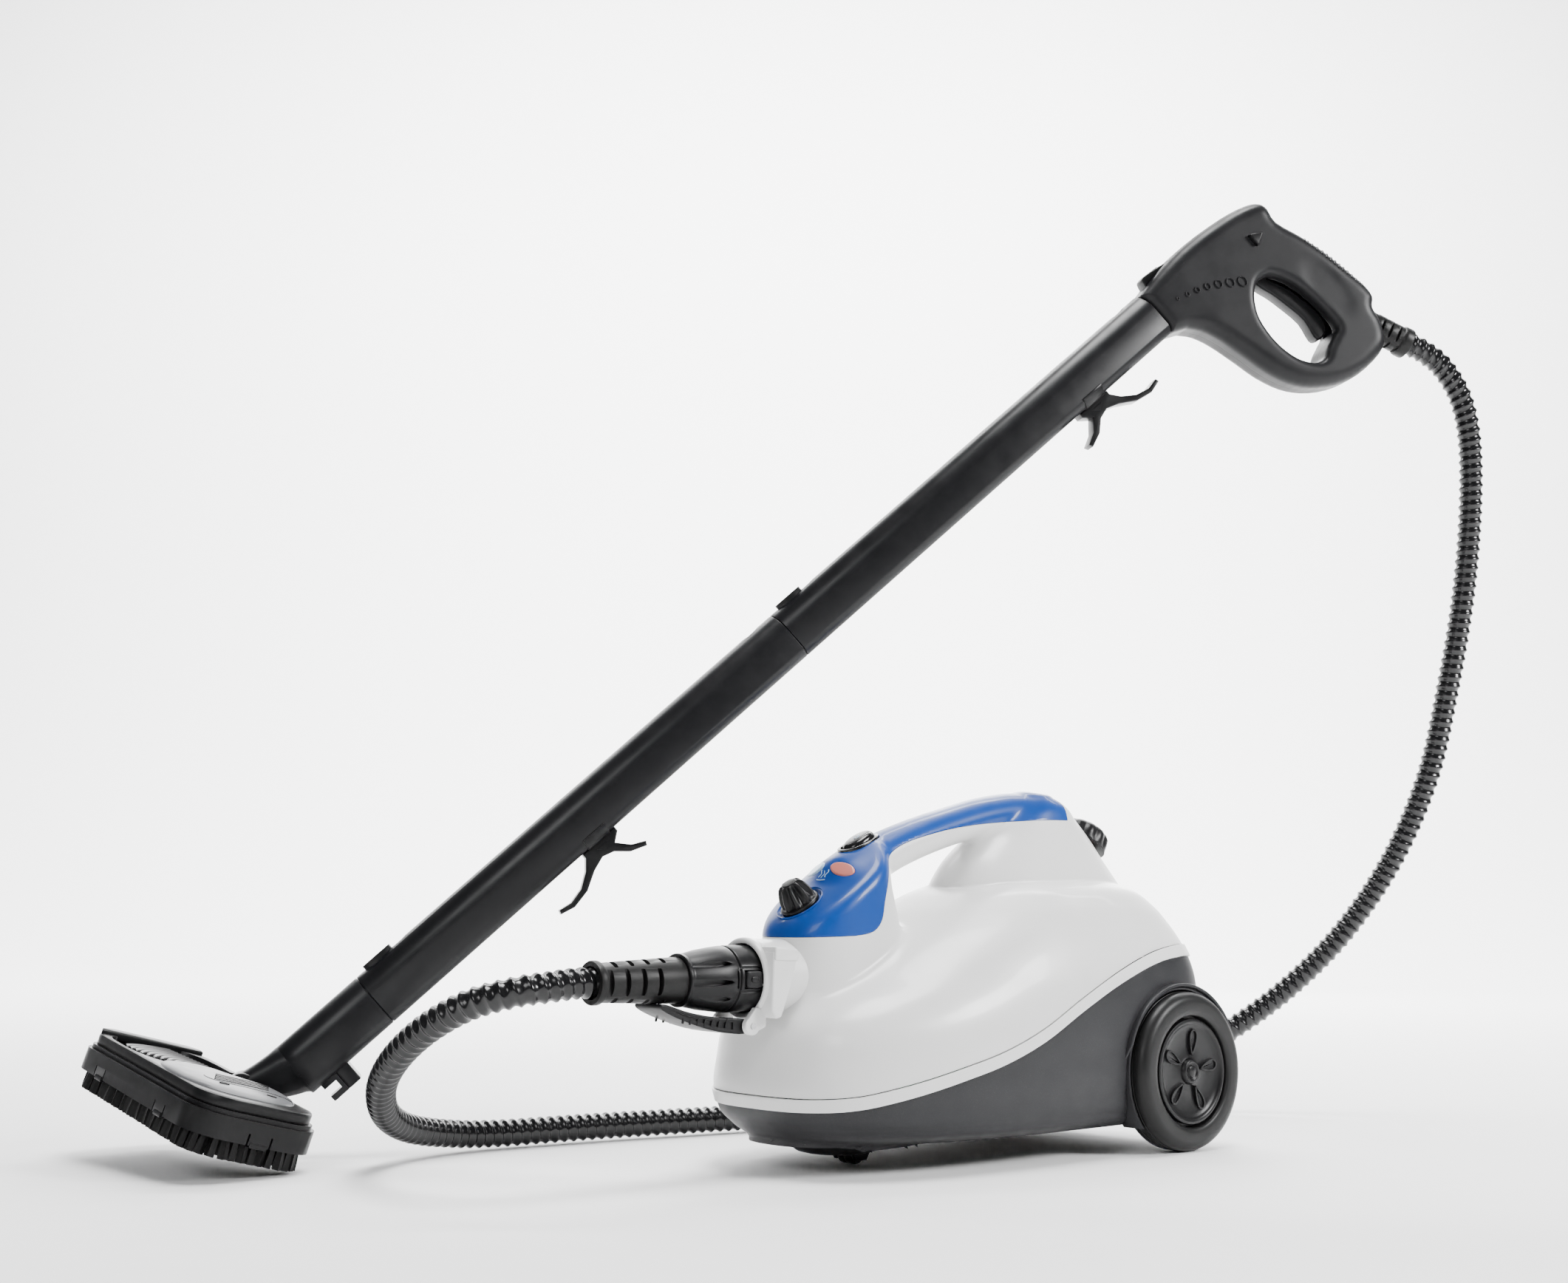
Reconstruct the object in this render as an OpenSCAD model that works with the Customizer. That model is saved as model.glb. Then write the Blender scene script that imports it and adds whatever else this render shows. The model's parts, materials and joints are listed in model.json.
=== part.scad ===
// Domestic steam cleaner: wheeled boiler body, steam hose, gun, two wand tubes and a floor brush.
// Millimetres, +Z up, front of the body towards -X, near side towards -Y, floor at z = 0.

/* [Body] */
// wall thickness of the moulded shells
wall = 2.6; // [2:0.2:3.4]
// height of the underside of the base above the floor
base_z = 20; // [18:1:22]
// height of the raised rim above the parting line
rim_h = 9; // [6:1:12]
// how far the rim stands out of the shell
rim_out = 1.2; // [0.6:0.2:1.6]
// gap left at the parting line
parting_gap = 0.3; // [0.1:0.1:0.6]

/* [Wheels] */
// radius of the rear wheels
wheel_r = 62; // [58:1:64]
// width of the tyre
wheel_w = 30; // [26:1:32]
// distance from the centre plane to the outer face of a wheel
wheel_out = 127; // [125:1:130]
// radius of the steel axle
axle_r = 5; // [4:0.5:6]
// radius of the front caster's roller
roller_r = 7; // [6:0.5:7]

/* [Boiler] */
// radius of the boiler
boiler_r = 64; // [56:1:66]
// wall thickness of the boiler
boiler_wall = 2.5; // [2:0.5:3]
// radius of the filler bore
filler_r = 10; // [8:0.5:11]
// lead of the filler cap's thread
cap_pitch = 3; // [2:0.5:4]

/* [Controls] */
// radius of the steam knob
knob_r = 15.5; // [14:0.5:16]
// lobes round the steam knob
knob_lobes = 8; // [6:1:10]
// radius of the knob's shaft
shaft_r = 3; // [2.5:0.5:3.5]

/* [Hose] */
// outer radius of the steam hose
hose_r = 11; // [10:0.5:11.5]
// radius of the connector's barrel
plug_r = 24; // [22:0.5:24.5]
// radius of the collar that takes the connector
collar_r = 28; // [27.5:0.5:30]

/* [Wand] */
// length of one wand tube
tube_len = 443; // [420:1:450]
// half width of a wand tube
tube_w = 19; // [18:0.5:20]
// wall thickness of a wand tube
tube_wall = 2.2; // [1.8:0.2:2.8]
// reach of the elbow below the lower joint
elbow_len = 118; // [112:1:120]

/* [Brush] */
// depth of the brush head
brush_a = 104; // [96:1:110]
// width of the brush head
brush_b = 240; // [220:2:260]
// height of the skirt
skirt_h = 20; // [18:1:21]
// length of the bristles below the skirt
bristle_h = 14; // [10:1:14]

/* [Hidden] */

wheel_x = 118;
wheel_y = wheel_out - wheel_w / 2;
wheel_z = wheel_r;
running_gap = 0.06;
seat_gap = 0.05;

function sgn(v) = v < 0 ? -1 : 1;
function power(v, p) = sgn(v) * pow(abs(v), p);

// Superellipse whose front and rear halves have their own length and squareness.
function plan(xf, xr, b, nf, nr, cx, n) = [for (i = [0:n - 1])
  let (t = 360 * i / n, back = cos(t) >= 0, e = 2 / (back ? nr : nf))
  [cx + (back ? xr - cx : cx - xf) * power(cos(t), e), b * power(sin(t), e)]];

module slab(z, xf, xr, b, nf, nr, cx, t) {
  translate([0, 0, z])
    linear_extrude(height = 0.02)
      polygon(plan(xf + t, xr - t, b - t, nf, nr, cx, 36));
}

// Levels of the low body: height, front, rear, half width, squareness in front and behind.
body_levels = [
  [20, -188, 150, 86, 2.6, 4.5], [24, -204, 162, 98, 2.8, 5], [34, -220, 171, 107, 3, 5.2],
  [52, -229, 175, 112, 3.1, 5.5], [80, -227, 176, 113.5, 3.1, 5.5],
  [108, -219, 176, 113.5, 2.9, 5.5], [122, -206, 176, 113, 2.6, 5.5],
  [140, -176, 176, 111, 2.3, 5.2], [160, -142, 172, 105, 2.2, 4.8],
  [178, -108, 166, 96, 2.2, 4.3], [193, -76, 157, 86, 2.2, 4], [205, -44, 146, 73, 2.2, 3.6],
  [213, -14, 130, 56, 2.2, 3.2]];
// Levels of the hump behind the handle: height, front, rear, half width.
hump_levels = [
  [190, -34, 163, 66], [212, -28, 152, 55], [230, -16, 140, 45], [248, 6, 127, 36],
  [262, 28, 113, 30], [273, 48, 99, 25], [281, 60, 84, 18]];
// Centre points of the handle and the half height there.
handle_path = [[-138, 212, 19], [-106, 229.5, 17], [-70, 243, 16], [-30, 254.5, 15.5],
  [12, 264, 16], [52, 268.5, 16.5], [82, 265, 17]];
// Parting line seen from the side: x, z.
parting = [[-260, 47], [-228, 47], [-200, 49], [-175, 54], [-148, 60], [-119, 67], [-80, 77],
  [-39, 92], [4, 113], [49, 132], [95, 146], [134, 151], [160, 150], [200, 146]];
// Edge of the blue cover seen from the side: x, z.
cover_edge = [[-240, 169], [-165, 170], [-148, 173], [-138, 182], [-132, 200], [-119, 223],
  [-98, 238], [-58, 249], [-15, 256], [45, 261], [84, 262], [88, 270]];

// Panel plane: tilted so that its normal leans forward.
panel_at = [-183, 0, 193];
panel_tilt = 35.5;
module on_panel() {
  translate(panel_at)
    rotate([0, -panel_tilt, 0])
      children();
}

module body_chain(t) {
  for (i = [0:len(body_levels) - 2])
    hull() {
      level(body_levels[i], t, i == 0 ? t : 0);
      level(body_levels[i + 1], t, i == len(body_levels) - 2 ? -t : 0);
    }
}
module level(l, t, dz) {
  slab(l[0] + dz, l[1], l[2], l[3], l[4], l[5], 30, t);
}
module hump_chain(t) {
  for (i = [0:len(hump_levels) - 2])
    hull() {
      hump_level(hump_levels[i], t, 0);
      hump_level(hump_levels[i + 1], t, i == len(hump_levels) - 2 ? -t : 0);
    }
}
module hump_level(l, t, dz) {
  slab(l[0] + dz, l[1], l[2], l[3], 2.3, 2.4, (l[1] + l[2]) / 2, t);
}
module column_form(t) {
  hull() {
    slab(96, -214, -78, 52, 2.4, 2.4, -150, t);
    slab(126, -208, -88, 46, 2.4, 2.4, -150, t);
  }
  hull() {
    slab(126, -208, -88, 46, 2.4, 2.4, -150, t);
    slab(168, -205, -96, 43, 2.6, 2.4, -150, t);
    on_panel()
      translate([0, 0, -t])
        slab(-0.02, -27, 78, 41, 3.2, 2.6, 24, t);
  }
}
module handle_chain(t) {
  for (i = [0:len(handle_path) - 2])
    hull() {
      handle_ball(handle_path[i], t);
      handle_ball(handle_path[i + 1], t);
    }
}
module handle_ball(p, t) {
  translate([p[0], 0, p[1]])
    scale([1, 22.5 / 18, 1])
      sphere(r = p[2] - t, $fn = 28);
}
module body_form(t) {
  body_chain(t);
  hump_chain(t);
  column_form(t);
  handle_chain(t);
}
module side_prism(points) {
  rotate([90, 0, 0])
    translate([0, 0, -160])
      linear_extrude(height = 320)
        polygon(points);
}
// Everything below the parting line raised by dz.
module below_parting(dz) {
  side_prism(concat([for (p = parting) [p[0], p[1] + dz]], [[200, -20], [-260, -20]]));
}
// Everything above the parting line raised by dz.
module above_parting(dz) {
  side_prism(concat([for (p = parting) [p[0], p[1] + dz]], [[200, 400], [-260, 400]]));
}
module cover_zone(g) {
  side_prism(concat([for (p = cover_edge) [p[0] - g, p[1] + g]],
    [[88 - g, 320], [-240, 320]]));
}
module round_x(x0, x1, y, z, r) {
  translate([x0, y, z])
    rotate([0, 90, 0])
      cylinder(h = x1 - x0, r = r, $fn = 48);
}
module round_y(y0, y1, x, z, r) {
  translate([x, y0, z])
    rotate([-90, 0, 0])
      cylinder(h = y1 - y0, r = r, $fn = 48);
}

// Frame of the filler cap: leaning to the rear on the back of the hump.
cap_at = [130, 0, 243];
cap_tilt = 31;
module on_cap() {
  translate(cap_at)
    rotate([0, cap_tilt, 0])
      children();
}
collar_z = 140;
collar_front = -240;

module panel_holes() {
  on_panel() {
    translate([0, 0, -6])
      cylinder(h = 12, r = 19.4, $fn = 40);
    for (s = [-1, 1])
      translate([39, 15 * s, -8])
        lens_form(6.3, 10.8, 16);
    translate([75, 0, -14])
      oval(18.4, 12.9, 30);
  }
}
module oval(a, b, h) {
  linear_extrude(height = h)
    polygon(plan(-a, a, b, 2.4, 2.4, 0, 32));
}
module lens_form(b, a, h) {
  linear_extrude(height = h)
    polygon(plan(-a, a, b, 2, 2, 0, 24));
}

// White upper shell with the neck, the handle's underside and the hump.
module upper_shell() {
  color("white")
  difference() {
    union() {
      intersection() {
        body_form(0);
        above_parting(parting_gap / 2);
      }
      intersection() {
        body_chain(-rim_out);
        above_parting(parting_gap / 2);
        below_parting(rim_h);
      }
    }
    body_form(wall);
    cover_zone(0);
    round_x(-260, -170, 0, collar_z, collar_r + 0.1);
    on_cap() {
      translate([0, 0, -22])
        cylinder(h = 60, r = 17, $fn = 40);
      translate([0, 0, -0.4])
        cylinder(h = 40, r = 24.8, $fn = 48);
    }
    arch_cut(66);
  }
}
module arch_cut(r) {
  for (s = [-1, 1])
    translate([wheel_x, s * 94, wheel_z])
      rotate([-90 * s, 0, 0])
        cylinder(h = 60, r = r, $fn = 56);
}
// Dark lower tub with the wheel arches and their lips.
module base_tub() {
  color("dimgray")
  difference() {
    union() {
      difference() {
        intersection() {
          body_chain(0);
          below_parting(-parting_gap / 2);
        }
        body_chain(wall);
      }
      intersection() {
        body_chain(0.6);
        below_parting(-parting_gap / 2);
        for (s = [-1, 1])
          translate([wheel_x, s * 91.4, wheel_z])
            rotate([-90 * s, 0, 0])
              cylinder(h = 60, r = 68.6, $fn = 56);
      }
      for (s = [-1, 1])
        arch_lip(s);
    }
    arch_cut(66);
    round_y(-100, 100, wheel_x, wheel_z, 9);
    translate([caster_x, 0, 10])
      cylinder(h = 20, r = 5 + running_gap, $fn = 32);
    round_x(165, 185, 0, 48, 8.1);
  }
}
module arch_lip(s) {
  translate([wheel_x, s > 0 ? 108 : -117, wheel_z])
    rotate([-90, 0, 0])
      linear_extrude(height = 9)
        polygon(concat([for (a = [-172:8:-12]) 68.4 * [cos(a), sin(a)]],
          [for (a = [-12:-8:-172]) 65.8 * [cos(a), sin(a)]]));
}
// Blue glossy cover of the panel and the top of the handle.
module control_cover() {
  color("royalblue")
  difference() {
    intersection() {
      body_form(0);
      cover_zone(0.15);
    }
    body_form(wall);
    panel_holes();
  }
}
// White collar round the steam socket, with its gusset and the flap's two lugs.
module socket_collar() {
  color("whitesmoke")
  difference() {
    union() {
      round_x(collar_front, -192, 0, collar_z, collar_r);
      for (s = [-1, 1])
        translate([-251, s * 19 - 2.5, 102])
          cube([18, 5, 16]);
      translate([-234, -36, 122])
        cube([20, 20, 26]);
    }
    round_x(collar_front - 20, -190, 0, collar_z, 25);
    round_y(-30, 30, -246, 107, 2.25);
  }
}
// Brass nozzle that closes the collar behind.
module steam_socket() {
  color("goldenrod")
  difference() {
    union() {
      round_x(-196, -188, 0, collar_z, 24.9);
      round_x(-211, -196, 0, collar_z, 6);
      round_x(-188, -172, 0, collar_z, 9);
    }
    round_x(-212, -178, 0, collar_z, 2.5);
  }
}
// Ring in the panel's recess that carries the knob's shaft.
module knob_bezel() {
  color("black")
  on_panel()
    difference() {
      translate([0, 0, -5])
        cylinder(h = 5.5, r = 19.3, $fn = 48);
      translate([0, 0, -6])
        cylinder(h = 8, r = shaft_r + running_gap, $fn = 32);
      translate([0, 0, -1])
        cylinder(h = 3, r = 17, $fn = 48);
    }
}
module steam_knob() {
  color("#202020")
  on_panel() {
    translate([0, 0, -0.6])
      cylinder(h = 3, r = knob_r, $fn = 48);
    translate([0, 0, 2.4])
      cylinder(h = 15, r = knob_r - 3, $fn = 40);
    translate([0, 0, 17.4])
      cylinder(h = 2.4, r1 = knob_r - 3, r2 = knob_r - 6, $fn = 40);
    for (i = [0:knob_lobes - 1])
      rotate([0, 0, 360 * i / knob_lobes])
        translate([knob_r - 3.2, 0, 2.4])
          cylinder(h = 14, r = 2.9, $fn = 20);
    translate([0, 0, -34])
      cylinder(h = 34, r = shaft_r, $fn = 32);
  }
}
// Brass valve below the knob, with a bore for the shaft.
module regulator_valve() {
  color("goldenrod")
  on_panel()
    difference() {
      union() {
        translate([0, 0, -58])
          cylinder(h = 34, r = 12, $fn = 40);
        translate([0, 0, -52])
          rotate([0, -90, 0])
            cylinder(h = 20, r = 4, $fn = 24);
      }
      translate([0, 0, -36])
        cylinder(h = 20, r = shaft_r + running_gap, $fn = 32);
    }
}
module lamp(s, c) {
  color(c)
  on_panel()
    translate([39, 15 * s, -3])
      lens_form(6, 10.5, 3.8);
}
module lamp_left() {
  lamp(-1, "salmon");
}
module lamp_right() {
  lamp(1, "lightblue");
}
module switch_frame() {
  color("black")
  on_panel()
    translate([75, 0, -7])
      difference() {
        union() {
          oval(18.2, 12.7, 7.4);
          translate([0, 0, -9])
            oval(15, 10.5, 9);
        }
        translate([0, 0, -6])
          oval(16, 10.4, 20);
        round_y(-20, 20, 0, 2, 1.55);
      }
}
// Rocker on a cross pin.
module rocker_switch() {
  color("#252525")
  on_panel()
    translate([75, 0, -5])
      rotate([0, 6, 0]) {
        translate([0, 0, -2])
          oval(14.6, 9.6, 9.5);
        round_y(-11.4, 11.4, 0, 0, 1.5);
      }
}
module boiler_cap() {
  color("black")
  on_cap() {
    translate([0, 0, 0.3])
      cylinder(h = 13, r = 23, $fn = 48);
    translate([0, 0, 13.3])
      cylinder(h = 6, r1 = 23, r2 = 15, $fn = 48);
    for (i = [0:11])
      rotate([0, 0, 30 * i])
        translate([21.8, 0, 1])
          cylinder(h = 11.5, r = 2.4, $fn = 16);
    translate([0, 0, -26])
      cylinder(h = 26.3, r = filler_r - running_gap, $fn = 40);
  }
}
module cap_gasket() {
  color("firebrick")
  on_cap()
    difference() {
      translate([0, 0, -2.2])
        cylinder(h = 2.2, r = 14, $fn = 40);
      translate([0, 0, -3])
        cylinder(h = 4, r = filler_r, $fn = 40);
    }
}
// Filler tube from the cap's seat down to the boiler.
module filler_neck() {
  color("silver")
  on_cap()
    difference() {
      union() {
        translate([0, 0, -92])
          cylinder(h = 89.8, r = 12.6, $fn = 40);
        translate([0, 0, -6])
          cylinder(h = 3.8, r = 15.6, $fn = 40);
      }
      translate([0, 0, -93])
        cylinder(h = 95, r = filler_r, $fn = 40);
    }
}
boiler_x = 36;
boiler_mid = 108;
module boiler_dome(r, h) {
  translate([boiler_x, 0, boiler_mid])
    rotate_extrude($fn = 64)
      polygon(concat([[0, 0], [0, h]],
        [for (a = [80:-10:0]) [r - 22 + 22 * cos(a), h - 22 + 22 * sin(a)]], [[r, 0]]));
}
module boiler_upper() {
  color("silver")
  difference() {
    union() {
      boiler_dome(boiler_r, 52);
      translate([boiler_x, 0, boiler_mid + 0.4])
        cylinder(h = 3, r = boiler_r + 9, $fn = 64);
    }
    boiler_dome(boiler_r - boiler_wall, 52 - boiler_wall);
    boiler_bolt_holes();
    on_cap()
      translate([0, 0, -120])
        cylinder(h = 60, r = 12.7, $fn = 32);
  }
}
module boiler_bolt_holes() {
  for (i = [0:5])
    translate([boiler_x, 0, boiler_mid - 10])
      rotate([0, 0, 30 + 60 * i])
        translate([boiler_r + 4.6, 0, 0])
          cylinder(h = 20, r = 2.1, $fn = 20);
}
module boiler_lower() {
  color("silver")
  difference() {
    union() {
      translate([0, 0, 2 * boiler_mid - 0.8])
        mirror([0, 0, 1])
          boiler_dome(boiler_r, 50);
      translate([boiler_x, 0, boiler_mid - 3.8])
        cylinder(h = 3, r = boiler_r + 9, $fn = 64);
    }
    translate([0, 0, 2 * boiler_mid - 0.8])
      mirror([0, 0, 1])
        boiler_dome(boiler_r - boiler_wall, 50 - boiler_wall);
    boiler_bolt_holes();
  }
}
module boiler_bolts() {
  color("gray")
  for (i = [0:5])
    translate([boiler_x, 0, boiler_mid])
      rotate([0, 0, 30 + 60 * i])
        translate([boiler_r + 4.6, 0, 0]) {
          translate([0, 0, -8])
            cylinder(h = 14, r = 2, $fn = 20);
          translate([0, 0, 3.6])
            cylinder(h = 3, r = 3.8, $fn = 6);
          translate([0, 0, -7.2])
            cylinder(h = 3, r = 3.8, $fn = 6);
        }
}
// Ring heater clamped below the boiler, with its two terminals.
module heating_element() {
  color("peru")
  translate([boiler_x, 0, boiler_mid - 55]) {
    rotate_extrude(angle = 330, $fn = 56)
      translate([38, 0])
        circle(r = 4, $fn = 20);
    for (a = [0, 330])
      rotate([0, 0, a])
        translate([38, 0, -12])
          cylinder(h = 12, r = 1.6, $fn = 16);
  }
}
module thermostat() {
  color("gray")
  translate([boiler_x, 0, boiler_mid - 51]) {
    translate([0, 0, -12])
      cylinder(h = 11.8, r = 12, $fn = 32);
    for (s = [-1, 1])
      translate([7 * s - 3, -0.5, -21])
        cube([6, 1, 9]);
  }
}
module pressure_switch() {
  color("gray")
  translate([boiler_x - 30, 0, boiler_mid + 52.2]) {
    cylinder(h = 5, r = 7, $fn = 6);
    translate([0, 0, 5])
      cylinder(h = 14, r = 11, $fn = 32);
  }
}
// Coil valve between boiler and hose socket.
module solenoid_valve() {
  color("goldenrod")
  translate([-76, 0, 106]) {
    translate([-12, -12, 0])
      cube([24, 24, 18]);
    translate([0, 0, 18])
      cylinder(h = 34, r = 14, $fn = 36);
    translate([0, 0, 52])
      cylinder(h = 5, r = 6, $fn = 24);
  }
}
module steam_pipes() {
  color("peru") {
    round_x(-63.8, -28.5, 0, 116, 3.5);
    round_x(-149, -88.2, 0, 116, 3.5);
    translate([-149, 0, 116])
      cylinder(h = 26.6, r = 3.5, $fn = 32);
    translate([-149, 0, 116])
      sphere(r = 3.5, $fn = 32);
  }
}
module circuit_board() {
  color("darkgreen")
  translate([-140, -62, 44])
    cube([70, 1.6, 40]);
}
module terminal_block() {
  color("ivory")
  translate([132, -20, 30])
    difference() {
      cube([20, 40, 16]);
      for (i = [0:3])
        translate([-1, 6 + 9.5 * i, 8])
          rotate([0, 90, 0])
            cylinder(h = 22, r = 2, $fn = 16);
    }
}
// Bush in the rear wall where the mains lead enters.
module mains_gland() {
  color("#151515")
  difference() {
    union() {
      round_x(166, 178, 0, 48, 8);
      round_x(176.2, 181, 0, 48, 11);
    }
    round_x(160, 185, 0, 48, 3.6);
  }
}
module rear_axle() {
  color("silver")
  round_y(-(wheel_out - 8), wheel_out - 8, wheel_x, wheel_z, axle_r);
}
module axle_brackets() {
  color("dimgray")
  for (s = [-1, 1])
    translate([wheel_x, s * 80, wheel_z])
      difference() {
        translate([-12, -9, -38])
          cube([24, 18, 54]);
        round_y(-20, 20, 0, 0, axle_r + seat_gap);
      }
}
// Tyre and rim in one moulding: bore, boss, web and a rounded tread.
module wheel_form() {
  h = wheel_w / 2;
  r = wheel_r;
  rotate([-90, 0, 0])
    rotate_extrude($fn = 72)
      polygon(concat(
        [[axle_r + running_gap, -h + 1], [13, -h + 1], [15, -4], [40, -4], [42, -h + 3], [46, -h]],
        [for (a = [-90:18:0]) [r - 8 + 8 * cos(a), -h + 8 + 8 * sin(a)]],
        [for (a = [0:18:90]) [r - 8 + 8 * cos(a), h - 8 + 8 * sin(a)]],
        [[46, h], [43.5, h - 2], [43.5, h - 9], [13, h - 9], [13, h - 11], [axle_r + running_gap, h - 11]]));
}
module wheel_left() {
  color("#1c1c1c")
  translate([wheel_x, -wheel_y, wheel_z])
    rotate([0, 0, 180])
      wheel_form();
}
module wheel_right() {
  color("#1c1c1c")
  translate([wheel_x, wheel_y, wheel_z])
    wheel_form();
}
module hubcap_form() {
  rotate([-90, 0, 0]) {
    translate([0, 0, 7.8])
      difference() {
        cylinder(h = 5.4, r = 39, $fn = 60);
        translate([0, 0, 1.6])
          cylinder(h = 6, r1 = 30, r2 = 37, $fn = 60);
        translate([0, 0, -1])
          cylinder(h = 2, r = 12.5, $fn = 40);
      }
    translate([0, 0, 8.8])
      cylinder(h = 5, r = 7.5, $fn = 32);
    for (i = [0:4])
      rotate([0, 0, 72 * i + 18])
        translate([20, 0, 9.2])
          scale([1.9, 1, 1])
            cylinder(h = 2.6, r = 5, $fn = 24);
  }
}
module hubcap_left() {
  color("#2a2a2a")
  translate([wheel_x, -wheel_y, wheel_z])
    rotate([0, 0, 180])
      hubcap_form();
}
module hubcap_right() {
  color("#2a2a2a")
  translate([wheel_x, wheel_y, wheel_z])
    hubcap_form();
}
module axle_clips() {
  color("silver")
  for (s = [-1, 1])
    translate([wheel_x, s * 117.4, wheel_z])
      rotate([-90 * s, 0, 0])
        difference() {
          translate([0, 0, -0.6])
            cylinder(h = 1.2, r = 9, $fn = 32);
          translate([0, 0, -2])
            cylinder(h = 4, r = axle_r, $fn = 32);
        }
}
caster_x = -148;
module caster_dome() {
  color("#1c1c1c")
  translate([caster_x, 0, 0])
    difference() {
      union() {
        translate([0, 0, 13.6])
          cylinder(h = 6, r = 36, $fn = 56);
        translate([0, 0, 9])
          cylinder(h = 4.6, r1 = 25, r2 = 36, $fn = 56);
        translate([0, 0, 19.5])
          cylinder(h = 9, r = 5, $fn = 32);
        translate([0, 0, 23.2])
          cylinder(h = 2.4, r = 7, $fn = 32);
        translate([6, -13, 3.6])
          cube([16, 26, 8]);
      }
      translate([5, -8.4, -1])
        cube([18, 16.8, 16]);
      round_y(-20, 20, 14, roller_r, 1.55);
    }
}
module caster_pin() {
  color("silver")
  round_y(-12.6, 12.6, caster_x + 14, roller_r, 1.5);
}
module caster_roller() {
  color("#303030")
  translate([caster_x + 14, 0, roller_r])
    difference() {
      round_y(-8, 8, 0, 0, roller_r);
      round_y(-9, 9, 0, 0, 1.5 + running_gap);
    }
}
flap_at = [-246, 0, 107];
// Flap below the socket, hinged at its rear end.
module socket_flap() {
  color("#303030")
  translate(flap_at)
    difference() {
      union() {
        round_y(-16.2, 16.2, 0, 0, 4.6);
        rotate([90, 0, 0])
          translate([0, 0, -16.2])
            linear_extrude(height = 32.4)
              polygon([[1, -4.4], [-8, -5.6], [-34, -1.5], [-60, 6.5], [-76, 13.5],
                [-77.5, 17.5], [-70, 16.6], [-52, 11.4], [-30, 7.4], [-12, 6], [-2, 4.2]]);
      }
      round_y(-20, 20, 0, 0, 2.2 + running_gap);
    }
}
module flap_pin() {
  color("silver")
  translate(flap_at)
    round_y(-22.4, 22.4, 0, 0, 2.2);
}
// Plug of the hose: barrel, tapered grip and the seat over the nozzle.
module connector_body() {
  color("#222222")
  difference() {
    union() {
      round_x(-258, -212, 0, collar_z, plug_r);
      round_x(-259.6, -258, 0, collar_z, plug_r - 0.9);
      translate([-296, 0, collar_z])
        rotate([0, 90, 0])
          cylinder(h = 36.4, r1 = 17.5, r2 = plug_r, $fn = 48);
      round_x(-298, -296, 0, collar_z, 18.6);
    }
    round_x(-292, -200, 0, collar_z, 6.1);
    translate([-255, -30, collar_z - 6.6])
      cube([15.4, 11.4, 13.2]);
  }
}
module connector_button() {
  color("#2c2c2c")
  translate([-254.6, -25.2, collar_z - 6.2])
    cube([14.6, 3.6, 12.4]);
}
// Slotted sleeve that keeps the hose from kinking at the plug.
module connector_relief() {
  color("#1a1a1a")
  difference() {
    union() {
      translate([-372, 0, collar_z])
        rotate([0, 90, 0])
          cylinder(h = 73.9, r1 = 13.4, r2 = 16.4, $fn = 40);
      round_x(-372, -367, 0, collar_z, 15);
    }
    round_x(-380, -290, 0, collar_z, 9);
    round_x(-380, -366, 0, collar_z, 11.3);
    for (i = [0:2], s = [-1, 1])
      translate([-345 + 12 * i, s * 14.5 - 3, collar_z - 9])
        cube([4, 6, 18]);
  }
}

// Route of the hose from the plug to the gun.
hose_route = [
  [-369, 0, 140], [-384, 0, 140], [-406, 1, 138], [-428, 8, 135], [-448, 30, 127], [-459, 62, 112],
  [-461, 98, 93], [-454, 134, 73], [-438, 168, 54], [-414, 200, 37], [-382, 226, 24],
  [-342, 242, 16], [-296, 246, 12], [-200, 234, 12], [-100, 214, 12], [0, 194, 12],
  [100, 176, 12], [180, 162, 12], [240, 144, 15], [290, 116, 24], [335, 82, 42],
  [376, 40, 72], [412, -6, 114], [440, -52, 168], [460, -94, 235], [470, -128, 310],
  [474, -150, 390], [476, -168, 470], [475, -180, 545], [469, -187, 610],
  [456, -188, 652], [438, -182, 680], [420, -174, 694], [404, -165, 702]];

function lerp(a, b, f) = a + (b - a) * f;
function unit(v) = v / norm(v);
function cat_point(p, i, f) =
  let (n = len(p), a = p[max(i - 1, 0)], b = p[i], c = p[min(i + 1, n - 1)], d = p[min(i + 2, n - 1)])
  0.5 * (2 * b + (c - a) * f + (2 * a - 5 * b + 4 * c - d) * f * f
    + (3 * b - a - 3 * c + d) * f * f * f);
function smooth_route(p, k) = concat(
  [for (i = [0:len(p) - 2], j = [0:k - 1]) cat_point(p, i, j / k)], [p[len(p) - 1]]);
function tangent(p, i) = unit(p[min(i + 1, len(p) - 1)] - p[max(i - 1, 0)]);
function carry(u, t) = unit(u - (u * t) * t);
function side_dirs(p, i, u) = i >= len(p) ? [] :
  let (v = carry(u, tangent(p, i))) concat([v], side_dirs(p, i + 1, v));
module swept_tube(p, r, sides) {
  dirs = side_dirs(p, 0, [0, 1, 0.1]);
  n = len(p);
  points = [for (i = [0:n - 1], k = [0:sides - 1])
    let (t = tangent(p, i), u = dirs[i], w = cross(t, u), a = 360 * (k + 0.5) / sides)
    p[i] + r * (cos(a) * u + sin(a) * w)];
  faces = concat(
    [[for (k = [0:sides - 1]) sides - 1 - k + 0]],
    [for (i = [0:n - 2], k = [0:sides - 1]) let (m = (k + 1) % sides)
      [i * sides + k, i * sides + m, (i + 1) * sides + m]],
    [for (i = [0:n - 2], k = [0:sides - 1]) let (m = (k + 1) % sides)
      [i * sides + k, (i + 1) * sides + m, (i + 1) * sides + k]],
    [[for (k = [0:sides - 1]) (n - 1) * sides + k]]);
  polyhedron(points, [for (f = faces) [for (j = [len(f) - 1:-1:0]) f[j]]]);
}
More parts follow.
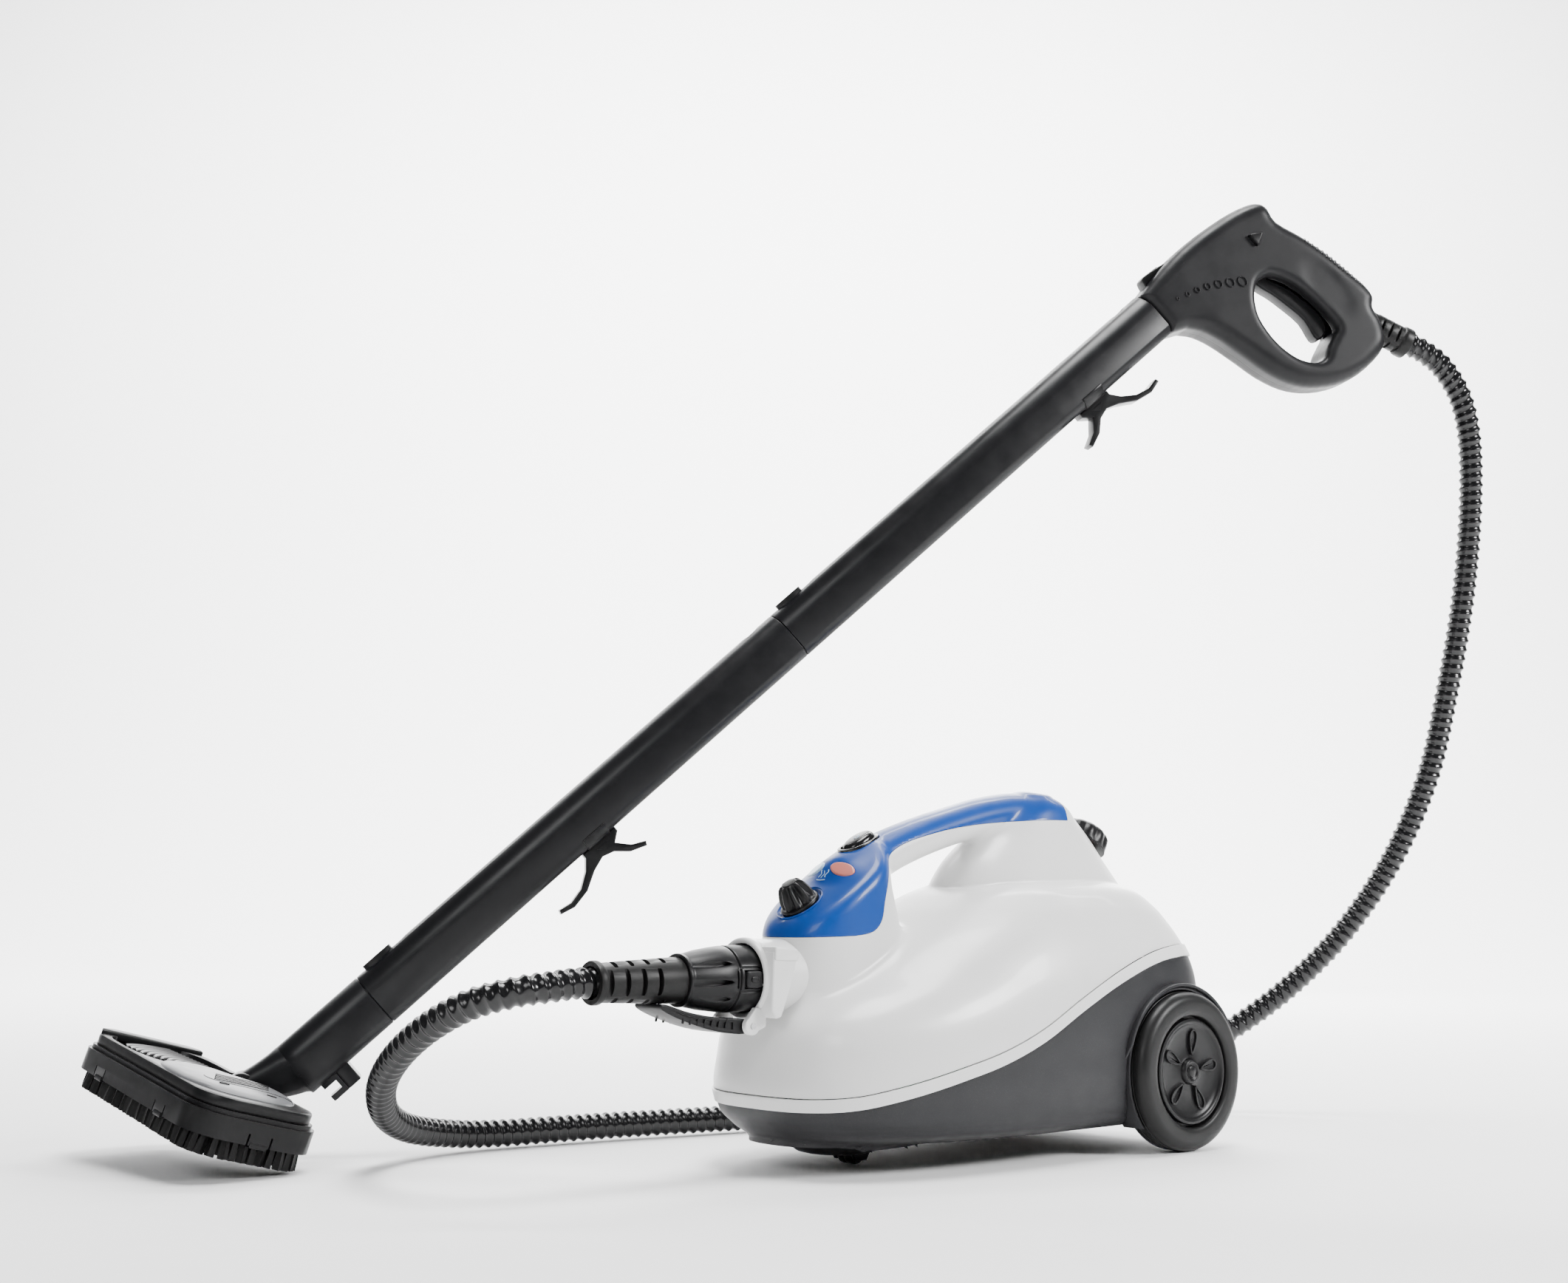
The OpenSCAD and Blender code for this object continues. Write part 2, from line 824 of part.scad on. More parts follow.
module steam_hose() {
  color("#101010")
  swept_tube(smooth_route(hose_route, 2), hose_r, 10);
}

// Frame of the wand: x runs up the wand from the lower joint.
wand_at = [-389, 272, 119];
wand_turn = -28.8;
wand_rise = 41.9;
wand_len = 2 * tube_len;
module on_wand() {
  translate(wand_at)
    rotate([0, 0, wand_turn])
      rotate([0, -wand_rise, 0])
        children();
}
function tube_outline(s) = concat(
  [[-12 + s * 0.4, -22 + s], [12 - s * 0.4, -22 + s], [tube_w - s, -15 + s * 0.4]],
  [for (a = [0:15:180]) [(tube_w - s) * cos(a), 4 + (tube_w - s) * sin(a)]],
  [[-tube_w + s, -15 + s * 0.4]]);
// Profile across the wand, extruded from x0 to x1.
module along_wand(x0, x1, s) {
  translate([x0, 0, 0])
    rotate([90, 0, 90])
      linear_extrude(height = x1 - x0)
        polygon(tube_outline(s));
}
module wand_tube(x0) {
  difference() {
    along_wand(x0 + 0.2, x0 + tube_len - 0.2, 0);
    along_wand(x0 - 1, x0 + tube_len + 1, tube_wall);
    translate([x0 + 8, -7.4, 14])
      cube([28.8, 14.8, 14]);
  }
}
module wand_tube_lower() {
  color("#202020")
  on_wand()
    wand_tube(0);
}
module wand_tube_upper() {
  color("#202020")
  on_wand()
    wand_tube(tube_len);
}
// Sleeves inside the three joints, with the seat of each latch.
module wand_spigots() {
  color("#303030")
  on_wand()
    for (x = [0, tube_len, wand_len - 28.3])
      difference() {
        along_wand(x - 6, x + 28.6, tube_wall + 0.3);
        along_wand(x - 7, x + 30, tube_wall + 3);
        translate([x + 8, -7.4, 14])
          cube([28.8, 14.8, 14]);
      }
}
module latch_form(x) {
  on_wand() {
    translate([x + 22.4, 0, 16.6])
      scale([1.9, 1, 1])
        cylinder(h = 9, r = 7, $fn = 32);
  }
}
module latch_button_mid() {
  color("#181818")
  latch_form(tube_len);
}
module latch_button_low() {
  color("#181818")
  latch_form(0);
}
// Two clip-on hooks below the tubes.
module wand_hooks() {
  color("#222222")
  on_wand() {
    hook_form(wand_len - 98, 1);
    hook_form(212, -1);
  }
}
module hook_form(x, s) {
  translate([x, 0, -22.3])
    rotate([90, 0, 0])
      translate([0, 0, -8])
        linear_extrude(height = 16)
          polygon([for (p = [[-17, 0], [17, 0], [17, -4], [24, -12], [36, -20], [49, -23],
            [60, -21], [61, -24.5], [49, -27.5], [33, -24.5], [18, -16], [6, -12], [-4, -15],
            [-14, -24], [-27, -29], [-29, -25.5], [-18, -20], [-9, -10], [-17, -4]])
            [s * p[0], p[1]]]);
}
// Hinge of the brush at the elbow's end, in the wand's frame.
hinge_x = -elbow_len;
hinge_z = 16;
module elbow() {
  color("#1e1e1e")
  on_wand()
    difference() {
      union() {
        along_wand(-84, -0.2, 0);
        hull() {
          along_wand(-86, -80, 0);
          round_y(-14.6, 14.6, hinge_x, hinge_z, 13);
        }
        translate([-72, -12, -38])
          cube([26, 24, 18]);
      }
      round_y(-30, 30, hinge_x, hinge_z, 3.06);
      along_wand(-60, 1, tube_wall);
      translate([-75, -13, -33])
        cube([14, 26, 7]);
    }
}
// Frame of the brush: the hinge point, tilted nose up, then turned about the head's normal.
brush_pitch = 17;
brush_swivel = 30;
brush_back = 36;
brush_drop = 2;
module at_hinge() {
  on_wand()
    translate([hinge_x, 0, hinge_z])
      rotate([0, wand_rise + brush_pitch, 0])
        children();
}
module on_brush() {
  at_hinge()
    rotate([0, 0, brush_swivel])
      translate([-brush_back, 0, -brush_drop])
        children();
}
// Yoke with two cheeks and the hinge pin, turning in the brush's round seat.
module brush_yoke() {
  color("#2a2a2a")
  at_hinge() {
    difference() {
      union() {
        translate([0, 0, -18.2])
          cylinder(h = 3.8, r = 25, $fn = 48);
        for (s = [-1, 1])
          translate([-9, s * 19.4 - 2, -15])
            cube([18, 4, 21]);
      }
      round_y(-30, 30, 0, 0, 3);
    }
    round_y(-22, 22, 0, 0, 3);
  }
}
module brush_block(a, b, r, h) {
  linear_extrude(height = h)
    union() {
      square([a - 2 * r, b], center = true);
      square([a, b - 2 * r], center = true);
      for (x = [-1, 1], y = [-1, 1])
        translate([x * (a / 2 - r), y * (b / 2 - r)])
          circle(r = r, $fn = 40);
    }
}
// Tub with its skirt, open below, with a round seat for the yoke behind.
module brush_housing() {
  color("#262626")
  on_brush()
    difference() {
      union() {
        translate([0, 0, -skirt_h])
          brush_block(brush_a, brush_b, 22, skirt_h);
        translate([brush_back, 0, -skirt_h])
          cylinder(h = skirt_h + 6, r = 31, $fn = 56);
      }
      difference() {
        translate([0, 0, -skirt_h - 1])
          brush_block(brush_a - 5, brush_b - 5, 19.5, skirt_h - 1.6);
        translate([brush_back, 0, -skirt_h + 1])
          cylinder(h = 30, r = 28, $fn = 56);
      }
      translate([brush_back, 0, -skirt_h + 3.6])
        cylinder(h = 40, r = 25.4, $fn = 56);
      translate([brush_back, 0, 2.4 - skirt_h * 0.74])
        linear_extrude(height = 40)
          polygon(concat([[0, 0]], [for (a = [-80:8:80]) 56 * [cos(a), sin(a)]]));
      for (s = [-1, 1])
        translate([-brush_a / 2 - 1, s * 60, -skirt_h - 1])
          cube([6, 1.6, 9]);
    }
}
module brush_cover() {
  color("gray")
  on_brush()
    difference() {
      union() {
        translate([-4, 0, 0.2])
          linear_extrude(height = 8)
            polygon(plan(-44, 36, 62, 2.6, 3, 0, 44));
        translate([-4, 0, 8.2])
          linear_extrude(height = 5, scale = 0.82)
            polygon(plan(-40, 32, 56, 2.6, 3, 0, 44));
      }
      translate([brush_back, 0, -1])
        cylinder(h = 30, r = 31.4, $fn = 56);
      for (i = [0:4])
        translate([-30 + 7 * i, -26, 12.2])
          cube([2, 52, 4]);
    }
}
module bristles() {
  color("#0c0c0c")
  on_brush()
    translate([0, 0, -skirt_h - bristle_h]) {
      difference() {
        brush_block(brush_a - 7, brush_b - 7, 19, bristle_h + 0.2);
        translate([0, 0, -1])
          brush_block(brush_a - 31, brush_b - 31, 8, bristle_h + 2);
      }
      for (x = [-16, 0, 16])
        translate([x - 4, -brush_b / 2 + 18, 0])
          cube([8, brush_b - 36, bristle_h]);
    }
}

// Frame of the gun: x runs on from the upper joint.
module on_gun() {
  on_wand()
    translate([wand_len, 0, 0])
      rotate([90, 0, 0])
        children();
}
gun_outline = [[0.4, 21], [33, 27.5], [68, 29.5], [110, 26], [136, 20.5], [150, 13],
  [153, 5], [150, -9], [160, -33], [168, -58], [173, -84], [177, -106], [175, -120],
  [167, -126], [165, -136], [157, -154], [143, -161], [114, -162], [90, -155], [70, -142],
  [56, -126], [46, -105], [39, -80], [32, -56], [24, -39], [14, -28], [0.4, -22]];
gun_loop = [[91, -40], [80, -50], [72, -66], [70, -90], [75, -112], [85, -126], [95, -130],
  [105, -125], [116, -121], [124, -117], [126, -103], [124, -80], [119, -60], [110, -44],
  [101, -39]];
trigger_outline = [[98, -43], [103, -57], [107, -73], [110.5, -93], [107.5, -111],
  [112, -116], [121, -113], [125.5, -104], [124.5, -84], [118, -60], [109, -42],
  [110, -33], [104, -29], [98, -32]];
trigger_pivot = [104, -36];
gun_tail = [158, -128];
gun_tail_turn = -66;
module gun_layer(h, t) {
  linear_extrude(height = h)
    difference() {
      offset(delta = -t)
        polygon(gun_outline);
      offset(delta = t)
        polygon(gun_loop);
    }
}
module gun_half() {
  difference() {
    union() {
      translate([0, 0, 0.1])
        gun_layer(16, 0);
      translate([0, 0, 16.1])
        gun_layer(3.4, 2.2);
      translate([0, 0, 19.5])
        gun_layer(2.5, 5);
    }
    translate([0, 0, -0.1])
      gun_layer(15.4, 2.6);
    translate([0, 0, -0.1])
      linear_extrude(height = 9)
        offset(delta = 1.2)
          polygon(trigger_outline);
    translate([0, 0, -0.1])
      linear_extrude(height = 9)
        offset(delta = 1)
          polygon([[104, -44], [108, -80], [108, -118], [148, -118], [136, -70], [116, -40]]);
    translate([trigger_pivot[0], trigger_pivot[1], -1])
      cylinder(h = 13, r = 3.05, $fn = 24);
    translate([gun_tail[0], gun_tail[1], 0])
      rotate([0, 90, gun_tail_turn])
        translate([0, 0, -0.3])
          cylinder(h = 40, r = 12.7, $fn = 40);
    translate([12, 12, -0.1])
      cube([34, 24, 8.1]);
    translate([113, -14.5, -1])
      cube([13, 13, 30]);
  }
}
module gun_shell_left() {
  color("#2b2b2b")
  on_gun()
    gun_half();
}
module gun_shell_right() {
  color("#2b2b2b")
  on_gun()
    mirror([0, 0, 1])
      gun_half();
}
module gun_trigger() {
  color("#151515")
  on_gun()
    translate([0, 0, -8])
      linear_extrude(height = 16)
        polygon(trigger_outline);
  color("#151515")
  on_gun()
    translate([trigger_pivot[0], trigger_pivot[1], -11])
      cylinder(h = 22, r = 3, $fn = 24);
}
// Sliding lock that goes right through the gun.
module gun_lock() {
  color("#151515")
  on_gun()
    translate([119.5, -8, -22])
      linear_extrude(height = 46)
        polygon([[-5.5, -5.5], [5.5, 0], [-5.5, 5.5]]);
}
module gun_latch() {
  color("#181818")
  on_gun()
    translate([13, 14, -7.6])
      linear_extrude(height = 15.2)
        polygon([[0, 4], [0, 12.5], [4, 16.5], [31, 14.5], [31, 10], [22, 6], [8, 4]]);
}
module gun_switch() {
  color("ivory")
  on_gun()
    translate([148, -100, -7])
      cube([9, 22, 14]);
}
// Slotted sleeve at the gun's tail.
module gun_relief() {
  color("#1a1a1a")
  on_gun()
    translate([gun_tail[0], gun_tail[1], 0])
      rotate([0, 90, gun_tail_turn])
        difference() {
          union() {
            cylinder(h = 50, r = 12.4, $fn = 40);
            translate([0, 0, 42])
              cylinder(h = 8, r = 13.8, $fn = 40);
          }
          translate([0, 0, -1])
            cylinder(h = 66, r = 8, $fn = 32);
          translate([0, 0, 43])
            cylinder(h = 9, r = 12, $fn = 40);
        }
}

upper_shell();
base_tub();
control_cover();
socket_collar();
steam_socket();
knob_bezel();
steam_knob();
regulator_valve();
lamp_left();
lamp_right();
switch_frame();
rocker_switch();
boiler_cap();
cap_gasket();
filler_neck();
boiler_lower();
boiler_upper();
boiler_bolts();
heating_element();
thermostat();
pressure_switch();
solenoid_valve();
steam_pipes();
circuit_board();
terminal_block();
mains_gland();
rear_axle();
axle_brackets();
wheel_left();
wheel_right();
hubcap_left();
hubcap_right();
axle_clips();
caster_dome();
caster_pin();
caster_roller();
socket_flap();
flap_pin();
connector_body();
connector_button();
connector_relief();
steam_hose();
gun_shell_left();
gun_shell_right();
gun_trigger();
gun_lock();
gun_latch();
gun_switch();
gun_relief();
wand_tube_upper();
wand_tube_lower();
wand_spigots();
latch_button_mid();
latch_button_low();
wand_hooks();
elbow();
brush_yoke();
brush_housing();
brush_cover();
bristles();
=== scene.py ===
"""Looks of the wheeled steam cleaner: shells, hose, controls, gun, wand and floor brush."""

import json
import logging
import math
from contextlib import contextmanager
from dataclasses import dataclass, field
from enum import Enum
from typing import Callable, ClassVar, Iterator, Sequence

import bmesh
import bpy
import numpy as np
from mathutils import Matrix, Vector

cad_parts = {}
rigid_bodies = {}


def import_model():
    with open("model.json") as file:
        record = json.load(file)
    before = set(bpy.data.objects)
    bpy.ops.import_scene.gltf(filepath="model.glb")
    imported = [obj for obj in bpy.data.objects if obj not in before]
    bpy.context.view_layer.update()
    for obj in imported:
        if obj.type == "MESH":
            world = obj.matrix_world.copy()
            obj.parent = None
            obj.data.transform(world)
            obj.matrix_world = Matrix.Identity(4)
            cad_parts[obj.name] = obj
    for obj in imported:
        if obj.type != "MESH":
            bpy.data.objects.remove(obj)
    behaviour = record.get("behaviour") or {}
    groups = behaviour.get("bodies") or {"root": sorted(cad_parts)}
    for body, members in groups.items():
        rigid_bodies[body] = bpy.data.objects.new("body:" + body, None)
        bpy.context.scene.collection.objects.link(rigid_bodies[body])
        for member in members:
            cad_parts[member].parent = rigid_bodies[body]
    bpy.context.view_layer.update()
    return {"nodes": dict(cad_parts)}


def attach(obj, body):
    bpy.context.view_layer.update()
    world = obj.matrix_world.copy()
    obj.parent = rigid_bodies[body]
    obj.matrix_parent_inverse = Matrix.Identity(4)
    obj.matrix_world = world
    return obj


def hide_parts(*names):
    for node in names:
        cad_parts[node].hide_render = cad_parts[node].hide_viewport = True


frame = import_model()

LOG = logging.getLogger("steam_cleaner")
Point = Sequence[float]
Obj = bpy.types.Object
Tree = bpy.types.NodeTree
Field = Callable[[np.ndarray], np.ndarray]
MM = 0.001
HERE = Matrix.Identity(4)
FLAT = 1e-4
TINY = 1e-9
TINY_SLOPE = 1e-6
FULL = 2 * math.pi


def turn(axis: str, degrees: float) -> Matrix:
    """Rotation about a main axis.

    Args:
        axis: "X", "Y" or "Z".
        degrees: right-handed angle.

    Returns:
        The 4 x 4 rotation.
    """
    return Matrix.Rotation(math.radians(degrees), 4, axis)


def move(x: float, y: float, z: float) -> Matrix:
    """Translation by x, y and z as a matrix."""
    return Matrix.Translation((x, y, z))


# Frames of the sub-assemblies, in millimetres from the frame's origin.
AXLE_X, AXLE_Z, WHEEL_Y, ARCH_Y = 118, 62, 112, 94
PANEL_X, PANEL_Z, PANEL_LEAN = -183, 193, 35.5
PANEL = move(PANEL_X, 0, PANEL_Z) @ turn("Y", -PANEL_LEAN)
CAP = move(130, 0, 243) @ turn("Y", 31)
WAND = move(-389, 272, 119) @ turn("Z", -28.8) @ turn("Y", -41.9)
TUBE = 443.0
GUN = WAND @ move(2 * TUBE, 0, 0) @ turn("X", 90)
HINGE = WAND @ move(-118, 0, 16) @ turn("Y", 58.9)
BRUSH = HINGE @ turn("Z", 30) @ move(-36, 0, -2)
SOCKET = move(-240, 0, 140) @ turn("Y", -90)
LEFT_WHEEL = move(AXLE_X, -WHEEL_Y, AXLE_Z) @ turn("X", 90)
RIGHT_WHEEL = move(AXLE_X, WHEEL_Y, AXLE_Z) @ turn("X", -90)


# ---------------------------------------------------------------- mesh tools


def deselect() -> None:
    """Clear the selection."""
    bpy.ops.object.select_all(action="DESELECT")


def only(obj: Obj) -> None:
    """Select one object and make it active."""
    deselect()
    obj.select_set(True)
    bpy.context.view_layer.objects.active = obj


def primitive(kind: str, name: str, **settings: object) -> Obj:
    """Add a mesh primitive.

    Args:
        kind: the operator's middle word, such as "cylinder".
        name: the new object's name.
        settings: the operator's own arguments.

    Returns:
        The new object.
    """
    deselect()
    getattr(bpy.ops.mesh, f"primitive_{kind}_add")(**settings)
    obj = bpy.context.active_object
    obj.name = name
    return obj


def linked(name: str, data: bpy.types.ID) -> Obj:
    """Put a mesh, camera or light into the scene.

    Args:
        name: the new object's name.
        data: what the object shows.

    Returns:
        The new object, at the origin.
    """
    obj = bpy.data.objects.new(name, data)
    bpy.context.scene.collection.objects.link(obj)
    return obj


@contextmanager
def editing(obj: Obj) -> Iterator[None]:
    """Hold an object in edit mode with nothing selected."""
    only(obj)
    bpy.ops.object.mode_set(mode="EDIT")
    bpy.ops.mesh.select_mode(type="FACE")
    bpy.ops.mesh.select_all(action="DESELECT")
    yield
    bpy.ops.object.mode_set(mode="OBJECT")


def point_outwards() -> None:
    """Turn all faces of the mesh in edit mode outwards."""
    bpy.ops.mesh.select_all(action="SELECT")
    bpy.ops.mesh.normals_make_consistent(inside=False)


def pick_faces(obj: Obj, test: Callable[[Vector, Vector], bool]) -> None:
    """Select faces in edit mode by centre and normal.

    Args:
        obj: the object in edit mode.
        test: takes a face's centre and normal.
    """
    bpy.ops.mesh.select_mode(type="FACE")
    mesh = bmesh.from_edit_mesh(obj.data)
    for face in mesh.faces:
        face.select_set(test(face.calc_center_median(), face.normal))
    bmesh.update_edit_mesh(obj.data)


def pick_edges(obj: Obj, test: Callable[[Vector, Vector], bool]) -> None:
    """Select edges in edit mode by their two ends.

    Args:
        obj: the object in edit mode.
        test: takes an edge's two ends.
    """
    bpy.ops.mesh.select_mode(type="EDGE")
    mesh = bmesh.from_edit_mesh(obj.data)
    for edge in mesh.edges:
        edge.select_set(test(edge.verts[0].co, edge.verts[1].co))
    bmesh.update_edit_mesh(obj.data)


def modify(obj: Obj, kind: str, **settings: object) -> Obj:
    """Add a modifier and apply it.

    Args:
        obj: the object.
        kind: the modifier's type.
        settings: values set on the modifier.

    Returns:
        The same object.
    """
    only(obj)
    modifier = obj.modifiers.new(kind.title(), kind)
    for key, value in settings.items():
        setattr(modifier, key, value)
    bpy.ops.object.modifier_apply(modifier=modifier.name)
    return obj


def cut(obj: Obj, *cutters: Obj, operation: str = "DIFFERENCE") -> Obj:
    """Boolean an object with others, which are then removed.

    Args:
        obj: the object that stays.
        cutters: closed meshes.
        operation: DIFFERENCE, INTERSECT or UNION.

    Returns:
        The same object.
    """
    for cutter in cutters:
        modify(obj, "BOOLEAN", operation=operation, solver="MANIFOLD", object=cutter)
        if not obj.data.polygons:
            LOG.warning("%s: nothing left after %s", obj.name, cutter.name)
        bpy.data.objects.remove(cutter)
    return obj


def bevelled(obj: Obj, width: float, segments: int = 3, angle: float = 40) -> Obj:
    """Round the sharp edges of an object.

    Args:
        obj: the object.
        width: bevel width in millimetres.
        segments: steps across the bevel.
        angle: edges sharper than this many degrees are rounded.

    Returns:
        The same object.
    """
    return modify(
        obj,
        "BEVEL",
        width=width,
        segments=segments,
        limit_method="ANGLE",
        angle_limit=math.radians(angle),
        use_clamp_overlap=True,
    )


def smoothed(obj: Obj, angle: float = 38) -> Obj:
    """Smooth shading below an angle in degrees."""
    only(obj)
    bpy.ops.object.shade_smooth_by_angle(angle=math.radians(angle))
    return obj


def joined(name: str, *parts: Obj) -> Obj:
    """Join several objects into one.

    Args:
        name: name of the result.
        parts: the objects; the first one stays.

    Returns:
        The joined object.
    """
    deselect()
    for part in parts:
        part.select_set(True)
    bpy.context.view_layer.objects.active = parts[0]
    bpy.ops.object.join()
    parts[0].name = name
    return parts[0]


def copied(obj: Obj, name: str, place: Matrix = HERE) -> Obj:
    """Copy an object with its own mesh.

    Args:
        obj: the source.
        name: the copy's name.
        place: where the copy's mesh goes.

    Returns:
        The copy.
    """
    twin = linked(name, obj.data.copy())
    twin.data.transform(place)
    if place.determinant() < 0:
        twin.data.flip_normals()
    return twin


def shifted(obj: Obj, place: Matrix) -> Obj:
    """Move an object's mesh and leave its object at the origin."""
    obj.data.transform(place @ obj.matrix_world)
    obj.matrix_world = Matrix.Identity(4)
    if place.determinant() < 0:
        obj.data.flip_normals()
    return obj


def outline_face(name: str, points: Sequence[Point], z: float = 0) -> Obj:
    """Flat n-sided face with its corners on an outline.

    Args:
        name: the object's name.
        points: corners as x, y, in order.
        z: height of the face.

    Returns:
        The object.
    """
    obj = primitive("circle", name, vertices=len(points), radius=10, fill_type="NGON")
    for vertex, point in zip(obj.data.vertices, points):
        vertex.co = (point[0], point[1], z)
    with editing(obj):
        point_outwards()
        if bmesh.from_edit_mesh(obj.data).faces[:][0].normal.z < 0:
            bpy.ops.mesh.flip_normals()
    return obj


def slab(
    name: str, points: Sequence[Point], z0: float, z1: float, edge: float = 0, steps: int = 3
) -> Obj:
    """Outline extruded from z0 to z1, with rounded rims.

    Args:
        name: the object's name.
        points: corners as x, y.
        z0: lower height.
        z1: upper height.
        edge: radius of both rims, or 0.
        steps: segments of the rounding.

    Returns:
        The closed solid.
    """
    obj = outline_face(name, points, z0)
    with editing(obj):
        bpy.ops.mesh.select_all(action="SELECT")
        bpy.ops.mesh.extrude_region_move(TRANSFORM_OT_translate={"value": (0, 0, z1 - z0)})
        point_outwards()
        if edge:
            pick_edges(obj, lambda a, b: abs(a.z - b.z) < FLAT)
            bpy.ops.mesh.bevel(offset=edge, segments=steps, affect="EDGES", clamp_overlap=True)
    return obj


def box(
    name: str, x: tuple[float, float], y: tuple[float, float], z: tuple[float, float],
    edge: float = 0, steps: int = 3,
) -> Obj:
    """Upright box between two values on each axis.

    Args:
        name: the object's name.
        x: both ends in x.
        y: both ends in y.
        z: both ends in z.
        edge: radius of the rims, or 0.
        steps: segments of the rounding.

    Returns:
        The closed solid.
    """
    return slab(name, [(x[0], y[0]), (x[1], y[0]), (x[1], y[1]), (x[0], y[1])], *z, edge, steps)


def sunk_top(obj: Obj, margin: float, depth: float) -> None:
    """Sink the flat top of a solid inside a margin.

    Args:
        obj: the solid.
        margin: width of the rim that stays.
        depth: how far the rest goes down.
    """
    with editing(obj):
        pick_faces(obj, lambda _, normal: normal.z > 0.9)
        bpy.ops.mesh.inset(thickness=margin, depth=0)
        bpy.ops.mesh.extrude_region_move(TRANSFORM_OT_translate={"value": (0, 0, -depth)})


def prism(name: str, points: Sequence[Point], y0: float = -160, y1: float = 160) -> Obj:
    """Side outline in x and z, extruded across the machine.

    Args:
        name: the object's name.
        points: corners as x, z.
        y0: near end.
        y1: far end.

    Returns:
        The closed solid.
    """
    return shifted(slab(name, points, -y1, -y0), turn("X", 90))


def turned(name: str, profile: Sequence[Point], steps: int = 64, sweep: float = 360) -> Obj:
    """Solid turned about Z from a radius-and-height profile.

    Args:
        name: the object's name.
        profile: points as radius, z, from the bottom of the axis round to its top.
        steps: segments round the axis.
        sweep: angle in degrees.

    Returns:
        The closed solid.
    """
    obj = primitive("circle", name, vertices=len(profile), radius=10, fill_type="NOTHING")
    for vertex, point in zip(obj.data.vertices, profile):
        vertex.co = (point[0], 0, point[1])
    with editing(obj):
        bpy.ops.mesh.select_mode(type="EDGE")
        bpy.ops.mesh.select_all(action="SELECT")
        bpy.ops.mesh.spin(steps=steps, angle=math.radians(sweep), center=(0, 0, 0), axis=(0, 0, 1))
        bpy.ops.mesh.select_all(action="SELECT")
        bpy.ops.mesh.remove_doubles(threshold=0.002)
        bpy.ops.mesh.delete_loose()
        point_outwards()
    return obj


def oval(rx: float, ry: float, power: float = 2, count: int = 48, x: float = 0, y: float = 0) -> list[Point]:
    """Superellipse outline.

    Args:
        rx: half length.
        ry: half width.
        power: 2 is an ellipse, more is squarer.
        count: corners.
        x: centre.
        y: centre.

    Returns:
        The corners.
    """
    points = []
    for i in range(count):
        a = FULL * i / count
        c, s = math.cos(a), math.sin(a)
        points.append(
            (
                x + rx * math.copysign(abs(c) ** (2 / power), c),
                y + ry * math.copysign(abs(s) ** (2 / power), s),
            )
        )
    return points


def arc(radius: float, start: int, stop: int, step: int, x: float = 0, y: float = 0) -> list[Point]:
    """Points of a circle's arc.

    Args:
        radius: the circle's radius.
        start: first angle in degrees.
        stop: the angle before which the arc ends.
        step: degrees between two points.
        x: the circle's centre.
        y: the circle's centre.

    Returns:
        The points.
    """
    angles = np.radians(range(start, stop, step))
    return [(x + radius * math.cos(a), y + radius * math.sin(a)) for a in angles]


def smooth_line(points: Sequence[Point], steps: int, closed: bool = False) -> np.ndarray:
    """Smooth curve through given points.

    Args:
        points: the points, any dimension.
        steps: samples for each stretch.
        closed: whether the last point joins the first.

    Returns:
        The samples, one a row.
    """
    p = np.array(points, float)
    n = len(p)
    out = []
    for i in range(n if closed else n - 1):
        if closed:
            a, b, c, d = p[i - 1], p[i], p[(i + 1) % n], p[(i + 2) % n]
        else:
            a, b, c, d = p[max(i - 1, 0)], p[i], p[i + 1], p[min(i + 2, n - 1)]
        for j in range(steps):
            f = j / steps
            out.append(
                0.5
                * (
                    2 * b
                    + (c - a) * f
                    + (2 * a - 5 * b + 4 * c - d) * f**2
                    + (3 * b - a - 3 * c + d) * f**3
                )
            )
    if not closed:
        out.append(p[-1])
    return np.array(out)


def skinned(name: str, rings: Sequence[np.ndarray], capped: bool = True) -> Obj:
    """Skin a row of rings that all have the same number of points.

    Args:
        name: the object's name.
        rings: arrays of points, in order.
        capped: whether both ends are closed.

    Returns:
        The surface.
    """
    count = len(rings[0])
    points = np.concatenate(rings)
    faces = []
    for i in range(len(rings) - 1):
        a, b = i * count, (i + 1) * count
        faces += [(a + k, a + (k + 1) % count, b + (k + 1) % count, b + k) for k in range(count)]
    if capped:
        faces.append(tuple(range(count))[::-1])
        faces.append(tuple((len(rings) - 1) * count + k for k in range(count)))
    mesh = bpy.data.meshes.new(name)
    mesh.from_pydata(points.tolist(), [], faces)
    obj = linked(name, mesh)
    with editing(obj):
        point_outwards()
    return obj


def along(
    name: str, path: np.ndarray, radii: np.ndarray | float, sides: int = 24, flat: float = 1
) -> Obj:
    """Round bar along a path.

    Args:
        name: the object's name.
        path: centre points.
        radii: radius at each point, or one for all.
        sides: corners round the bar.
        flat: height of the section over its width.

    Returns:
        The closed solid.
    """
    path = np.asarray(path, float)
    radii = np.broadcast_to(np.asarray(radii, float), (len(path),))
    tangents = np.gradient(path, axis=0)
    tangents /= np.linalg.norm(tangents, axis=1)[:, None]
    u = np.cross(tangents[0], (0.0, 0.0, 1.0))
    if np.linalg.norm(u) < 0.1:
        u = np.cross(tangents[0], (0.0, 1.0, 0.0))
    rings = []
    a = np.linspace(0, FULL, sides, endpoint=False)
    for p, t, r in zip(path, tangents, radii):
        u = u - (u @ t) * t
        u /= np.linalg.norm(u)
        w = np.cross(t, u)
        rings.append(p + r * (np.cos(a)[:, None] * u + flat * np.sin(a)[:, None] * w))
    return skinned(name, rings)


def mesh_points(obj: Obj) -> np.ndarray:
    """Vertices of a mesh, one a row."""
    flat = np.zeros(len(obj.data.vertices) * 3)
    obj.data.vertices.foreach_get("co", flat)
    return flat.reshape(-1, 3)


